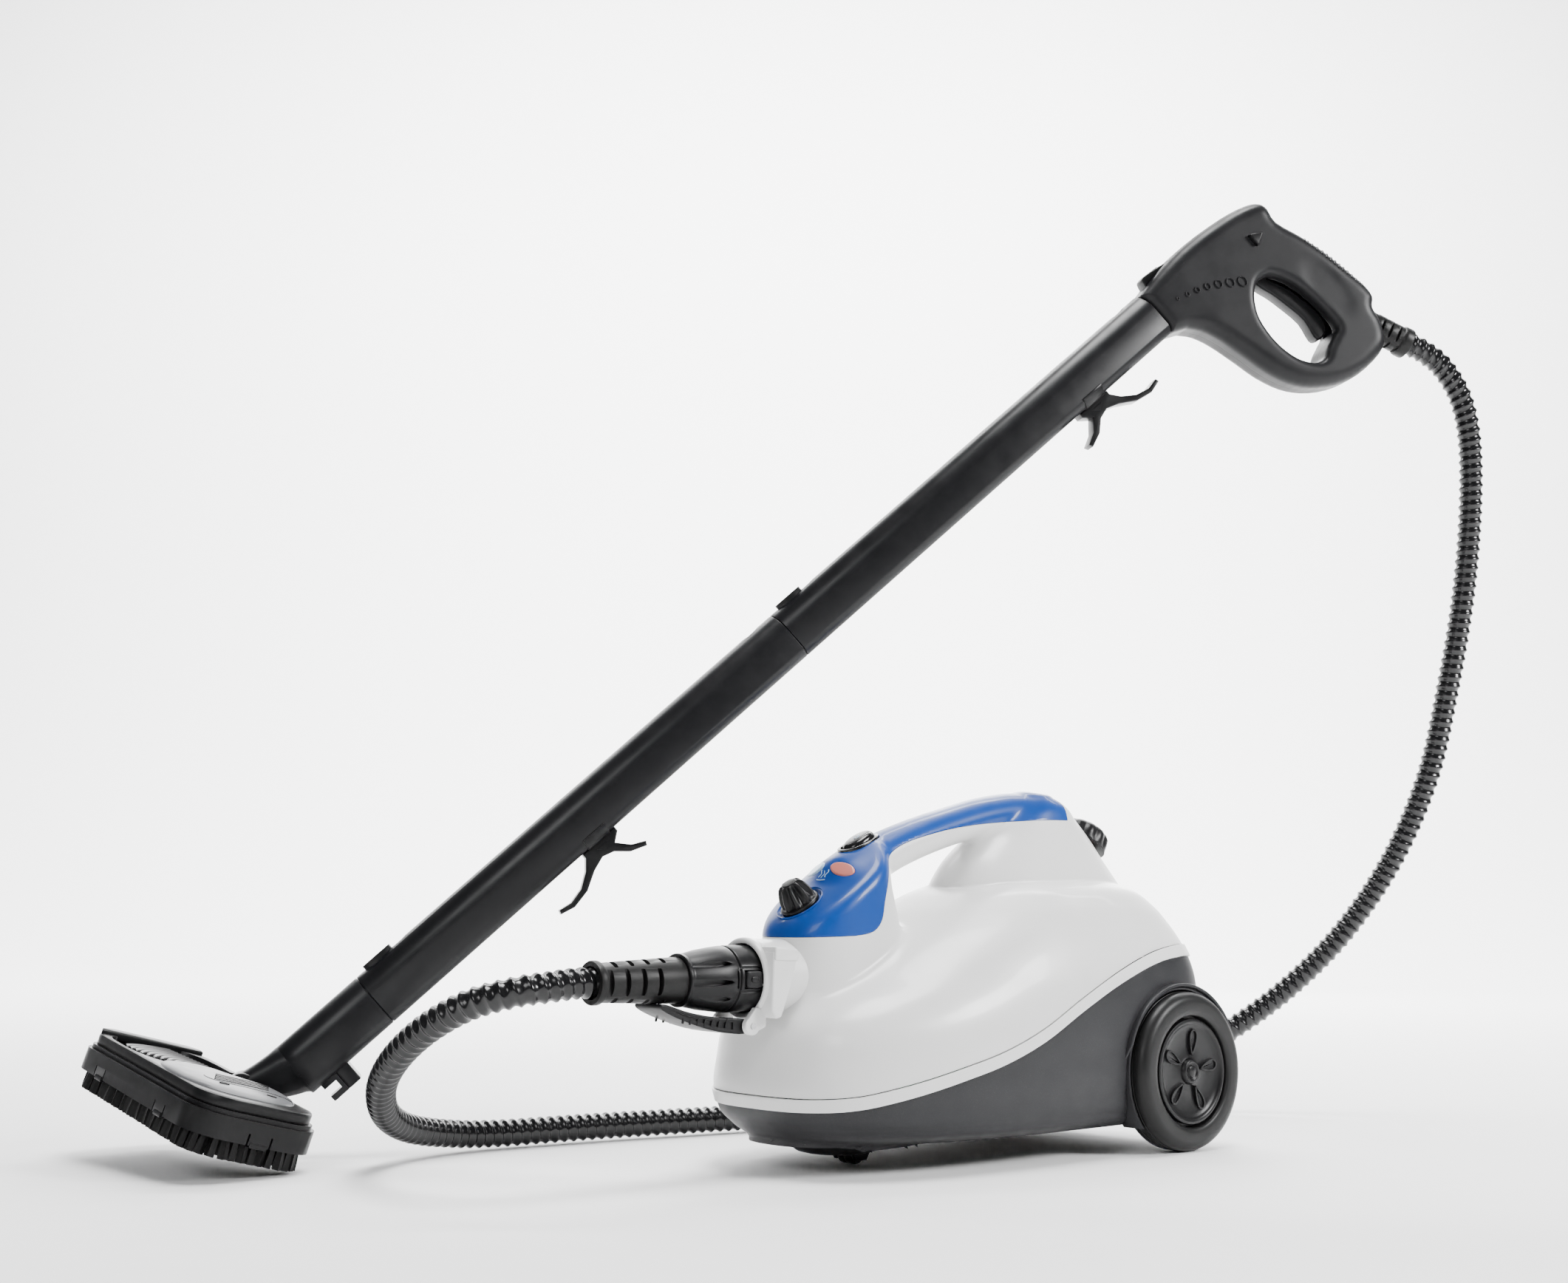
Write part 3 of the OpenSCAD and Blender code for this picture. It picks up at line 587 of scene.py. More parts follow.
def set_mesh_points(obj: Obj, points: np.ndarray) -> None:
    """Put a mesh's vertices at the given points."""
    obj.data.vertices.foreach_set("co", points.ravel())
    obj.data.update()


def gradient(value: Field, p: np.ndarray, step: float) -> np.ndarray:
    """Gradient of a form's value by central differences.

    Args:
        value: the form's signed value at points.
        p: the points.
        step: half the distance of the differences.

    Returns:
        One slope a row.
    """
    return np.stack([(value(p + s) - value(p - s)) / (2 * step) for s in np.eye(3) * step], axis=1)


def draw_on(obj: Obj, value: Field, rounds: int, step: float, least: float, reach: float) -> None:
    """Move each vertex along the slope until it lies on a form's surface.

    Args:
        obj: the rough mesh.
        value: the form's signed value at points.
        rounds: how often the vertices are moved.
        step: half the distance of the slope's differences.
        least: least squared slope, so that flat places don't throw a vertex far.
        reach: longest single move in millimetres.
    """
    p = mesh_points(obj)
    for _ in range(rounds):
        g = gradient(value, p, step)
        size = np.maximum(np.sum(g * g, axis=1), least)
        shift = -(value(p) / size)[:, None] * g
        length = np.linalg.norm(shift, axis=1)[:, None]
        p = p + shift * np.minimum(1, reach / np.maximum(length, TINY))
    set_mesh_points(obj, p)


# ---------------------------------------------------------------- finishes


def noise(tree: Tree, scale: float, detail: float = 2) -> bpy.types.Node:
    """Noise on object coordinates.

    Args:
        tree: the material's nodes.
        scale: waves for each metre.
        detail: octaves.

    Returns:
        The noise node.
    """
    where = tree.nodes.get("Where") or tree.nodes.new("ShaderNodeTexCoord")
    where.name = "Where"
    node = tree.nodes.new("ShaderNodeTexNoise")
    node.inputs["Scale"].default_value = scale
    node.inputs["Detail"].default_value = detail
    tree.links.new(where.outputs["Object"], node.inputs["Vector"])
    return node


def spread(
    tree: Tree, source: bpy.types.Node, low: float, high: float, a: float = 0.3, b: float = 0.7
) -> bpy.types.NodeSocket:
    """Map a noise's factor onto a range.

    Args:
        tree: the material's nodes.
        source: the noise.
        low: result at a.
        high: result at b.
        a: lower input.
        b: upper input.

    Returns:
        The mapped output.
    """
    node = tree.nodes.new("ShaderNodeMapRange")
    for socket, value in (("From Min", a), ("From Max", b), ("To Min", low), ("To Max", high)):
        node.inputs[socket].default_value = value
    tree.links.new(source.outputs["Fac"], node.inputs["Value"])
    return node.outputs["Result"]


@dataclass(frozen=True)
class Finish:
    """A moulded or machined surface with fine grain, mottling and optional flecks."""

    COAT_ROUGHNESS: ClassVar[float] = 0.05
    MOTTLE_SCALE: ClassVar[float] = 28
    FLECK_SCALE: ClassVar[float] = 2100
    WEAR_SCALE: ClassVar[float] = 60
    GRAIN_DEPTH: ClassVar[float] = 0.0002
    FLECK_LEVELS: ClassVar[tuple[float, float]] = (0.6, 0.72)
    FLECK_GAIN: ClassVar[float] = 2.1
    FLECK_LIFT: ClassVar[float] = 0.02
    POLISHED: ClassVar[float] = 0.88
    WORN: ClassVar[float] = 1.14

    name: str
    colour: tuple[float, float, float]
    roughness: float = 0.4
    grain: float = 1400
    bump: float = 0.08
    mottle: float = 0.06
    metallic: float = 0.0
    coat: float = 0.0
    flecks: float = 0.0
    specular: float = 0.5
    stretch: tuple[float, float, float] = (1, 1, 1)

    def material(self) -> bpy.types.Material:
        """Build the material once and return it."""
        known = bpy.data.materials.get(self.name)
        if known:
            return known
        made = bpy.data.materials.new(self.name)
        made.use_nodes = True
        tree = made.node_tree
        shader = next(n for n in tree.nodes if n.type == "BSDF_PRINCIPLED")
        values = {
            "Metallic": self.metallic,
            "Coat Weight": self.coat,
            "Coat Roughness": self.COAT_ROUGHNESS,
            "Specular IOR Level": self.specular,
        }
        for key, value in values.items():
            shader.inputs[key].default_value = value
        self.tint(tree, shader)
        self.surface(tree, shader)
        return made

    def tint(self, tree: Tree, shader: bpy.types.Node) -> None:
        """Colour with soft mottling and, where there are any, lighter flecks."""
        mix = tree.nodes.new("ShaderNodeMix")
        mix.data_type = "RGBA"
        dark = [c * (1 - self.mottle) for c in self.colour] + [1]
        light = [min(c * (1 + self.mottle), 1) for c in self.colour] + [1]
        mix.inputs["A"].default_value = dark
        mix.inputs["B"].default_value = light
        tree.links.new(spread(tree, noise(tree, self.MOTTLE_SCALE, 3), 0, 1), mix.inputs["Factor"])
        result = mix.outputs["Result"]
        if self.flecks:
            fleck = tree.nodes.new("ShaderNodeMix")
            fleck.data_type = "RGBA"
            bright = [min(c * self.FLECK_GAIN + self.FLECK_LIFT, 1) for c in self.colour]
            fleck.inputs["B"].default_value = bright + [1]
            tree.links.new(result, fleck.inputs["A"])
            amount = spread(tree, noise(tree, self.FLECK_SCALE, 1), 0, self.flecks, *self.FLECK_LEVELS)
            tree.links.new(amount, fleck.inputs["Factor"])
            result = fleck.outputs["Result"]
        tree.links.new(result, shader.inputs["Base Color"])

    def surface(self, tree: Tree, shader: bpy.types.Node) -> None:
        """Roughness that varies a little, and the grain's bump."""
        low, high = self.roughness * self.POLISHED, min(self.roughness * self.WORN, 1)
        tree.links.new(spread(tree, noise(tree, self.WEAR_SCALE, 2), low, high), shader.inputs["Roughness"])
        grain = noise(tree, self.grain, 2)
        if self.stretch != (1, 1, 1):
            mapping = tree.nodes.new("ShaderNodeMapping")
            mapping.inputs["Scale"].default_value = self.stretch
            tree.links.new(tree.nodes["Where"].outputs["Object"], mapping.inputs["Vector"])
            tree.links.new(mapping.outputs["Vector"], grain.inputs["Vector"])
        bump = tree.nodes.new("ShaderNodeBump")
        bump.inputs["Strength"].default_value = self.bump
        bump.inputs["Distance"].default_value = self.GRAIN_DEPTH
        tree.links.new(grain.outputs["Fac"], bump.inputs["Height"])
        tree.links.new(bump.outputs["Normal"], shader.inputs["Normal"])


class Skin(Enum):
    """Named finishes of the machine, each with the record's material slot."""

    WHITE = (
        "white_shell", Finish(
            "satin_white", (0.70, 0.70, 0.695), 0.32, 900, 0.03, coat=0.12, mottle=0.01,
        ),
    )
    GRAPHITE = (
        "dark_base",
        Finish(
            "speckled_graphite", (0.019, 0.019, 0.021), 0.4, 1500, 0.14, mottle=0.05, flecks=0.3,
            specular=0.24,
        ),
    )
    BLUE = (
        "blue_cover",
        Finish("metallic_blue", (0.0, 0.043, 0.24), 0.36, 1800, 0.02, coat=0.15, specular=0.25, mottle=0.03),
    )
    BLACK = ("black_plastic", Finish("satin_black", (0.006, 0.006, 0.0065), 0.34, 1300, 0.12, specular=0.22))
    GLOSS_BLACK = (
        "black_plastic",
        Finish("gloss_black", (0.005, 0.005, 0.0055), 0.2, 900, 0.03, coat=0.2, specular=0.3),
    )
    GUN = ("gun_plastic", Finish("gun_dark_grey", (0.010, 0.010, 0.011), 0.4, 1400, 0.14, specular=0.2))
    TUBE = ("tube_plastic", Finish("tube_black", (0.007, 0.007, 0.008), 0.32, 1200, 0.1, specular=0.25))
    HOSE = (
        "hose_black",
        Finish("hose_gloss", (0.005, 0.005, 0.0055), 0.22, 700, 0.05, coat=0.15, specular=0.35),
    )
    RUBBER = ("rubber_parts", Finish("moulded_rubber", (0.006, 0.006, 0.006), 0.42, 1100, 0.2, specular=0.22))
    SEAL = ("seal_rubber", Finish("seal_silicone", (0.38, 0.07, 0.04), 0.5, 800, 0.1))
    TYRE = ("wheel_rubber", Finish("tyre_black", (0.006, 0.006, 0.0062), 0.4, 1700, 0.2, specular=0.25))
    PLATE = (
        "grey_plate",
        Finish("plate_grey", (0.12, 0.122, 0.128), 0.34, 1300, 0.08, specular=0.35, mottle=0.03),
    )
    BRISTLE = ("bristle_black", Finish("nylon_tufts", (0.005, 0.005, 0.005), 0.45, 2600, 0.3, specular=0.2))
    RED_LENS = ("red_lens", Finish("red_lens", (0.42, 0.06, 0.045), 0.2, 500, 0.03, specular=0.3))
    CLEAR_LENS = ("clear_lens", Finish("pale_lens", (0.42, 0.60, 0.80), 0.2, 500, 0.03, specular=0.3))
    STEEL = (
        "steel_parts",
        Finish("plated_steel", (0.58, 0.58, 0.59), 0.28, 900, 0.1, metallic=1.0, stretch=(1, 0.1, 1)),
    )
    BOILER = ("boiler_metal", Finish("cast_aluminium", (0.6, 0.6, 0.61), 0.42, 500, 0.3, metallic=1.0))
    COPPER = ("heater_metal", Finish("copper_sheath", (0.62, 0.34, 0.22), 0.35, 700, 0.1, metallic=1.0))
    BRASS = (
        "brass_parts",
        Finish("turned_brass", (0.65, 0.47, 0.2), 0.3, 600, 0.1, metallic=1.0, stretch=(1, 6, 1)),
    )
    BOARD = ("board_green", Finish("board_lacquer", (0.03, 0.16, 0.08), 0.25, 300, 0.2, coat=0.5))
    IVORY = ("ivory_plastic", Finish("ivory_nylon", (0.7, 0.66, 0.55), 0.45, 1000, 0.1))

    @property
    def slot(self) -> str:
        """The record's material slot."""
        return self.value[0]

    def dress(self, obj: Obj) -> None:
        """Give the whole object this finish."""
        made = self.value[1].material()
        obj.data.materials.clear()
        obj.data.materials.append(made)


def settle(
    obj: Obj,
    skin: Skin,
    body: str = "body",
    stands_for: Sequence[str] = (),
    place: Matrix = HERE,
    angle: float = 38,
) -> Obj:
    """Put a finished piece in the row frame, dress it and let it ride.

    Args:
        obj: the piece, modelled in millimetres.
        skin: its finish.
        body: the CAD body it rides on.
        stands_for: CAD nodes it stands for.
        place: its sub-assembly's frame.
        angle: faces meeting at less than this are shaded smooth.

    Returns:
        The piece.
    """
    obj.data.transform(Matrix.Scale(MM, 4) @ place @ obj.matrix_world)
    obj.matrix_world = Matrix.Identity(4)
    smoothed(obj, angle)
    skin.dress(obj)
    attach(obj, body)
    if stands_for:
        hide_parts(*stands_for)
    return obj


# ---------------------------------------------------------------- studio


@dataclass
class Studio:
    """Camera, pale floor with a swept backdrop, and large soft lights."""

    eye: tuple[float, float, float] = (-1.1273, -1.1062, 0.1955)
    pitch: float = 97.7
    yaw: float = -40.0
    lens: float = 44.1

    def build(self) -> None:
        """Make the camera, the floor and the lights."""
        self.camera()
        self.sweep()
        self.light("key", (1.2, -2.3, 1.5), (0, 0, 0.15), (0.9, 0.7), 105)
        self.light("side", (-2.3, -1.2, 1.5), (0, 0, 0.2), (1.0, 1.0), 26)
        self.light("top", (0.1, -0.1, 3.0), (0, 0.1, 0), (1.3, 1.1), 120)
        self.light("rim", (1.9, 1.6, 1.3), (0, 0, 0.3), (1.0, 1.6), 40)
        for i, place in enumerate(((0.2, 3.0, 3.4), (2.9, 0.8, 3.4), (1.6, 1.9, 3.7))):
            self.light(f"wash_{i}", place, (place[0] + 1.6, place[1] + 1.8, 0.7), (3.0, 1.4), 340)
        world = bpy.data.worlds.new("soft_room")
        world.use_nodes = True
        shade = next(n for n in world.node_tree.nodes if n.type == "BACKGROUND")
        shade.inputs["Color"].default_value = (0.93, 0.95, 1.0, 1)
        shade.inputs["Strength"].default_value = 0.16
        bpy.context.scene.world = world

    def camera(self) -> None:
        """Place the camera."""
        data = bpy.data.cameras.new("view")
        data.lens = self.lens
        data.sensor_width = 36
        camera = linked("view", data)
        aim = Matrix.LocRotScale(
            None,
            Matrix.Rotation(math.radians(self.yaw), 3, "Z").to_quaternion()
            @ Matrix.Rotation(math.radians(self.pitch), 3, "X").to_quaternion(),
            None,
        )
        camera.matrix_world = Matrix.Translation(self.eye) @ aim
        bpy.context.scene.camera = camera

    def sweep(self) -> None:
        """Floor that curves up into a backdrop."""
        profile = [(-9.0, 0.0), (3.2, 0.0)]
        profile += [(3.2 + 2 * math.sin(a), 2 - 2 * math.cos(a)) for a in np.radians(range(10, 91, 10))]
        profile += [(5.2, 8.0)]
        rings = [np.array([(x, y, z) for y, z in profile]) for x in (-12.0, 12.0)]
        faces = [(i, i + 1, len(profile) + i + 1, len(profile) + i) for i in range(len(profile) - 1)]
        mesh = bpy.data.meshes.new("floor")
        mesh.from_pydata(np.concatenate(rings).tolist(), [], faces)
        floor = linked("floor", mesh)
        floor.data.transform(
            Matrix.Rotation(math.radians(self.yaw), 4, "Z") @ Matrix.Translation((0, 0, -0.0004))
        )
        Finish("paper_sweep", (0.93, 0.93, 0.93), 0.85, 60, 0.05, mottle=0.005, specular=0.1).material()
        floor.data.materials.append(bpy.data.materials["paper_sweep"])
        smoothed(floor, 60)

    def light(self, name: str, at: Point, target: Point, size: tuple[float, float], power: float) -> None:
        """Add one soft box.

        Args:
            name: its name.
            at: its place in metres.
            target: where it aims.
            size: width and height.
            power: watts.
        """
        data = bpy.data.lights.new(name, "AREA")
        data.shape = "RECTANGLE"
        data.size, data.size_y = size
        data.energy = power
        lamp = linked(name, data)
        aim = (Vector(target) - Vector(at)).to_track_quat("-Z", "Y")
        lamp.matrix_world = Matrix.LocRotScale(Vector(at), aim, None)


# ---------------------------------------------------------------- hose


@dataclass
class SteamHose:
    """Ribbed hose from the plug, round the back of the machine, to the gun."""

    radius: float = 11.0
    rib_pitch: float = 8.4
    rib_depth: float = 1.9
    rib_width: float = 0.17
    sides: int = 22
    route: tuple[Point, ...] = (
        (-369, 0, 140), (-384, 0, 140), (-406, 1, 138), (-428, 8, 135), (-448, 30, 127), (-459, 62, 112),
        (-461, 98, 93), (-454, 134, 73), (-438, 168, 54), (-414, 200, 37), (-382, 226, 24),
        (-342, 242, 16), (-296, 246, 12), (-200, 234, 12), (-100, 214, 12), (0, 194, 12),
        (100, 176, 12), (180, 162, 12), (240, 144, 15), (290, 116, 24), (335, 82, 42),
        (376, 40, 72), (412, -6, 114), (440, -52, 168), (460, -94, 235), (470, -128, 310),
        (474, -150, 390), (476, -168, 470), (475, -180, 545), (469, -187, 610),
        (456, -188, 652), (438, -182, 680), (420, -174, 694), (404, -165, 702),
    )

    def centre_line(self) -> np.ndarray:
        """Evenly spaced points along the route, ten for each rib."""
        fine = smooth_line(self.route, 24)
        steps = np.linalg.norm(np.diff(fine, axis=0), axis=1)
        gone = np.concatenate([[0], np.cumsum(steps)])
        even = np.linspace(0, gone[-1], int(gone[-1] / self.rib_pitch * 10))
        return np.stack([np.interp(even, gone, fine[:, i]) for i in range(3)], axis=1)

    def build(self) -> None:
        line = self.centre_line()
        step = np.linalg.norm(line[1] - line[0])
        tangents = np.gradient(line, axis=0)
        tangents /= np.linalg.norm(tangents, axis=1)[:, None]
        u = np.array([0.0, 1.0, 0.1])
        angles = np.linspace(0, FULL, self.sides, endpoint=False)
        rings = []
        for i, (p, t) in enumerate(zip(line, tangents)):
            u = u - (u @ t) * t
            u /= np.linalg.norm(u)
            w = np.cross(t, u)
            phase = (i * step / self.rib_pitch - angles / FULL) % 1 - 0.5
            ridge = np.exp(-((phase / self.rib_width) ** 2)) + 0.12 * (1 - np.cos(4 * math.pi * phase))
            radius = self.radius - self.rib_depth * (1 - np.minimum(ridge, 1))
            rings.append(p + radius[:, None] * (np.cos(angles)[:, None] * u + np.sin(angles)[:, None] * w))
        hose = settle(skinned("hose", rings), Skin.HOSE, stands_for=["steam_hose"], angle=60)


# ---------------------------------------------------------------- body shells


def soft_min(a: np.ndarray, b: np.ndarray, k: float) -> np.ndarray:
    """Union of two forms with a fillet of about k."""
    h = np.maximum(k - np.abs(a - b), 0) / k
    return np.minimum(a, b) - h * h * k / 4


def soft_max(a: np.ndarray, b: np.ndarray, k: float) -> np.ndarray:
    """Intersection of two forms with a rounding of about k."""
    return -soft_min(-a, -b, k)


def by_height(levels: Sequence[Point], column: int, z: np.ndarray) -> np.ndarray:
    """Smooth value of one column of a level table.

    Args:
        levels: rows that start with a height.
        column: which value.
        z: heights, in millimetres.

    Returns:
        The values.
    """
    h = np.array([row[0] for row in levels], float)
    v = np.array([row[column] for row in levels], float)
    slopes = np.gradient(v, h)
    z = np.clip(z, h[0], h[-1])
    i = np.clip(np.searchsorted(h, z) - 1, 0, len(h) - 2)
    w = h[i + 1] - h[i]
    t = (z - h[i]) / w
    return (
        (2 * t**3 - 3 * t**2 + 1) * v[i]
        + (t**3 - 2 * t**2 + t) * w * slopes[i]
        + (-2 * t**3 + 3 * t**2) * v[i + 1]
        + (t**3 - t**2) * w * slopes[i + 1]
    )


@dataclass
class BodyForm:
    """The one smooth form that all outer shells are cut from."""

    low: tuple[Point, ...] = (
        (20, -188, 150, 86, 2.6, 4.5), (24, -204, 162, 98, 2.8, 5), (34, -220, 171, 107, 3, 5.2),
        (52, -229, 175, 112, 3.1, 5.5), (80, -227, 176, 113.5, 3.1, 5.5),
        (108, -219, 176, 113.5, 2.9, 5.5), (122, -206, 176, 113, 2.6, 5.5),
        (140, -176, 176, 111, 2.3, 5.2), (160, -142, 172, 105, 2.2, 4.8),
        (178, -108, 166, 96, 2.2, 4.3), (193, -76, 157, 86, 2.2, 4), (205, -44, 146, 73, 2.2, 3.6),
        (213, -14, 130, 56, 2.2, 3.2),
    )
    hump: tuple[Point, ...] = (
        (190, -34, 163, 66), (212, -28, 152, 55), (230, -16, 140, 45), (248, 6, 127, 36),
        (262, 28, 113, 30), (273, 48, 99, 25), (281, 60, 84, 18),
    )
    neck: tuple[Point, ...] = (
        (96, -214, -78, 52), (126, -208, -88, 46), (168, -205, -96, 43), (238, -205, -118, 41),
    )
    handle: tuple[Point, ...] = (
        (-138, 212, 19), (-106, 229.5, 17), (-70, 243, 16), (-30, 254.5, 15.5),
        (12, 264, 16), (52, 268.5, 16.5), (82, 265, 17),
    )
    crease: tuple[Point, ...] = (
        (-240, 108), (-200, 112), (-157, 120), (-139, 126), (-90, 146), (-30, 171), (18, 190), (74, 205),
        (119, 212), (180, 222),
    )
    voxel: float = 2.3
    step: float = 0.25

    def ring_value(
        self, p: np.ndarray, front: np.ndarray, rear: np.ndarray, half: np.ndarray,
        nf: np.ndarray | float, nr: np.ndarray | float, cx: np.ndarray | float,
    ) -> np.ndarray:
        """Signed radial distance to a superellipse at each point's height.

        Args:
            p: points.
            front: front end at that height.
            rear: rear end.
            half: half width.
            nf: squareness in front.
            nr: squareness behind.
            cx: where the two halves meet.

        Returns:
            Millimetres outside the outline, negative inside.
        """
        dx, dy = p[:, 0] - cx, p[:, 1]
        back = dx >= 0
        n = np.where(back, nr, nf)
        a = np.where(back, rear - cx, cx - front)
        q = (np.abs(dx / a) ** n + np.abs(dy / half) ** n + 1e-12) ** (1 / n)
        return np.hypot(dx, dy) * (1 - 1 / np.maximum(q, 0.08))

    def value(self, p: np.ndarray) -> np.ndarray:
        """Signed distance-like value of the whole form.

        Args:
            p: points in millimetres, one a row.

        Returns:
            Zero on the surface, negative inside.
        """
        z = p[:, 2]
        low = self.ring_value(p, *[by_height(self.low, i, z) for i in range(1, 6)], 30.0)
        over = z - np.interp(p[:, 0], *np.array(self.crease).T)
        low = low + 0.30 * 2.2 * np.logaddexp(0, np.clip(over / 2.2, -30, 30))
        low = soft_max(soft_max(low, 20 - z, 3), z - 213, 5)
        edges = [by_height(self.hump, i, z) for i in range(1, 4)]
        top = self.ring_value(p, *edges, 2.3, 2.4, (edges[0] + edges[1]) / 2)
        top = soft_max(soft_max(top, z - 281.5, 8), 196 - z, 3)
        edges = [by_height(self.neck, i, z) for i in range(1, 4)]
        neck = self.ring_value(p, *edges, 2.6, 2.4, -150.0)
        lean = math.radians(PANEL_LEAN)
        plane = (p[:, 0] - PANEL_X) * -math.sin(lean) + (z - PANEL_Z) * math.cos(lean)
        dome = 0.0035 * ((p[:, 0] + 165) ** 2 * 0.4 + p[:, 1] ** 2)
        neck = soft_max(neck, plane + dome - 2.2, 9)
        form = soft_min(low, top, 3.5)
        form = soft_min(form, neck, 11)
        return soft_min(form, self.bar(p), 13)

    def bar(self, p: np.ndarray) -> np.ndarray:
        """Distance to the handle's bar, which is wider than it is high."""
        line = smooth_line(self.handle, 5)
        q = np.stack([p[:, 0], p[:, 1] * 0.8, p[:, 2]], axis=1)
        best = np.full(len(p), 1e9)
        for a, b in zip(line[:-1], line[1:]):
            start, along_ = np.array([a[0], 0, a[1]]), np.array([b[0] - a[0], 0, b[1] - a[1]])
            t = np.clip(((q - start) @ along_) / (along_ @ along_), 0, 1)
            near = start + t[:, None] * along_
            best = np.minimum(best, np.linalg.norm(q - near, axis=1) - (a[2] + (b[2] - a[2]) * t))
        return best

    def outward(self, p: np.ndarray) -> np.ndarray:
        """Unit directions out of the form at the given points."""
        g = gradient(self.value, p, self.step)
        return g / np.maximum(np.linalg.norm(g, axis=1), TINY_SLOPE)[:, None]

    def solid(self) -> Obj:
        """Closed mesh of the whole form, from rough blocks drawn onto the surface."""
        blocks = [
            self.block("low_block", self.low, 12),
            self.block("hump_block", self.hump, 8),
            self.block(
                "neck_block",
                (
                    (96, -212, -80, 50), (170, -204, -96, 43), (182, -200, -98, 42),
                    (215, -158, -110, 38), (236, -128, -120, 20),
                ),
                0,
            ),
            along("bar_block", np.array([(a, 0, b) for a, b, _ in smooth_line(self.handle, 3)]), 16.0, 20),
        ]
        form = joined("body_form", *blocks)
        modify(form, "REMESH", mode="VOXEL", voxel_size=self.voxel)
        for smoothing, rounds in ((6, 7), (3, 3)):
            modify(form, "SMOOTH", factor=0.5, iterations=smoothing)
            draw_on(form, self.value, rounds, self.step, 0.05, 3.0)
        return form

    def block(self, name: str, levels: Sequence[Point], shrink: float) -> Obj:
        """Rough loft of one level table."""
        rings = []
        for row in levels:
            z, front, rear, half = row[:4]
            mid = (front + rear) / 2
            rings.append(
                np.array(
                    [(x, y, z) for x, y in oval((rear - front) / 2 - shrink * 0.1, half, 2.6, 48, mid)]
                )
            )
        return skinned(name, rings)


@dataclass
class BodyShells:
    """White upper shell, graphite base and the blue cover, with their edges."""

    form: BodyForm = field(default_factory=BodyForm)
    wall: float = 2.6
    parting: tuple[Point, ...] = (
        (-260, 47), (-228, 47), (-200, 49), (-175, 54), (-148, 60), (-119, 67), (-80, 77),
        (-39, 92), (4, 113), (49, 132), (95, 146), (134, 151), (160, 150), (200, 146),
    )
    cover_edge: tuple[Point, ...] = (
        (-240, 169), (-165, 170), (-148, 173), (-138, 182), (-132, 200), (-119, 223),
        (-98, 238), (-58, 249), (-15, 256), (45, 261), (84, 262), (88, 270),
    )
    rim: float = 9.0
    cut_depth: float = 0.25
    facing: float = 0.6

    def build(self) -> None:
        """Cut the shells from the form and finish their rims."""
        solid = self.form.solid()
        LOG.info("form: %d faces", len(solid.data.polygons))
        line = smooth_line(self.parting, 5)
        edge = smooth_line(self.cover_edge[1:-1], 5)
        cover_zone = [(-240, 168), *edge, (90, 320), (-240, 320)]
        self.white(solid, line, cover_zone)
        self.base(solid, line)
        self.cover(solid, edge)
        bpy.data.objects.remove(solid)

    def piece(self, solid: Obj, name: str, *steps: tuple[Obj, str]) -> Obj:
        """Copy the form and cut it.

        Args:
            solid: the form.
            name: the copy's name.
            steps: cutters, each with its operation.

        Returns:
            The closed solid that is left.
        """
        part = copied(solid, name)
        for cutter, operation in steps:
            cut(part, cutter, operation=operation)
        return part

    def thicken(self, part: Obj, grow: float, rim: float) -> Obj:
        """Drop the faces inside the form and give the skin its wall.

        Args:
            part: a piece of the form, still solid.
            grow: how far its skin stands out of the form.
            rim: bevel of the wall's edges.

        Returns:
            The hollow shell.
        """
        mesh = part.data
        centres = np.array([f.center for f in mesh.polygons])
        normals = np.array([f.normal for f in mesh.polygons])
        turned_away = np.sum(self.form.outward(centres) * normals, axis=1) < self.facing
        inside = (self.form.value(centres) < -self.cut_depth) | turned_away
        with editing(part):
            made = bmesh.from_edit_mesh(mesh)
            for face, drop in zip(made.faces, inside):
                face.select_set(bool(drop))
            bmesh.update_edit_mesh(mesh)
            bpy.ops.mesh.delete(type="FACE")
            bpy.ops.mesh.select_all(action="SELECT")
            bpy.ops.mesh.remove_doubles(threshold=0.12)
            bpy.ops.mesh.delete_loose()
        if grow:
            p = mesh_points(part)
            set_mesh_points(part, p + grow * self.form.outward(p))
        modify(part, "SOLIDIFY", thickness=self.wall, offset=-1, use_even_offset=False)
        if rim:
            bevelled(part, rim, 2, 55)
        return part

    def white(self, solid: Obj, line: np.ndarray, cover_zone: Sequence[Point]) -> None:
        """Upper shell: the main skin and the raised band above the parting line."""
        up = [(x, z + self.rim) for x, z in line]
        over = [(x, z + self.rim + 0.7) for x, z in line]
        shell = self.piece(
            solid,
            "upper_shell_skin",
            (prism("above", [*over, (200, 400), (-260, 400)]), "INTERSECT"),
            (prism("zone", cover_zone), "DIFFERENCE"),
            (shifted(slab("hole", oval(28.1, 28.1), -10, 60), SOCKET @ move(0, 0, -40)), "DIFFERENCE"),
            (shifted(slab("seat", oval(24.8, 24.8), -20, 40), CAP), "DIFFERENCE"),
        )
        self.thicken(shell, 0, 0.45)
        band = self.piece(
            solid,
            "band",
            (prism("over", [*[(x, z + 0.15) for x, z in line], (200, 400), (-260, 400)]), "INTERSECT"),
            (prism("under", [*up, (200, -40), (-260, -40)]), "INTERSECT"),
            *[(self.arch(s, 66), "DIFFERENCE") for s in (-1, 1)],
        )
        self.thicken(band, 1.7, 0.6)
        settle(joined("upper_shell_skin", shell, band), Skin.WHITE, stands_for=["upper_shell"], angle=34)

    def arch(self, side: int, radius: float) -> Obj:
        """Cutter of one wheel arch."""
        disc = slab("arch", oval(radius, radius, 2, 72), 0, 70)
        return shifted(disc, move(AXLE_X, side * ARCH_Y, AXLE_Z) @ turn("X", -90 * side))

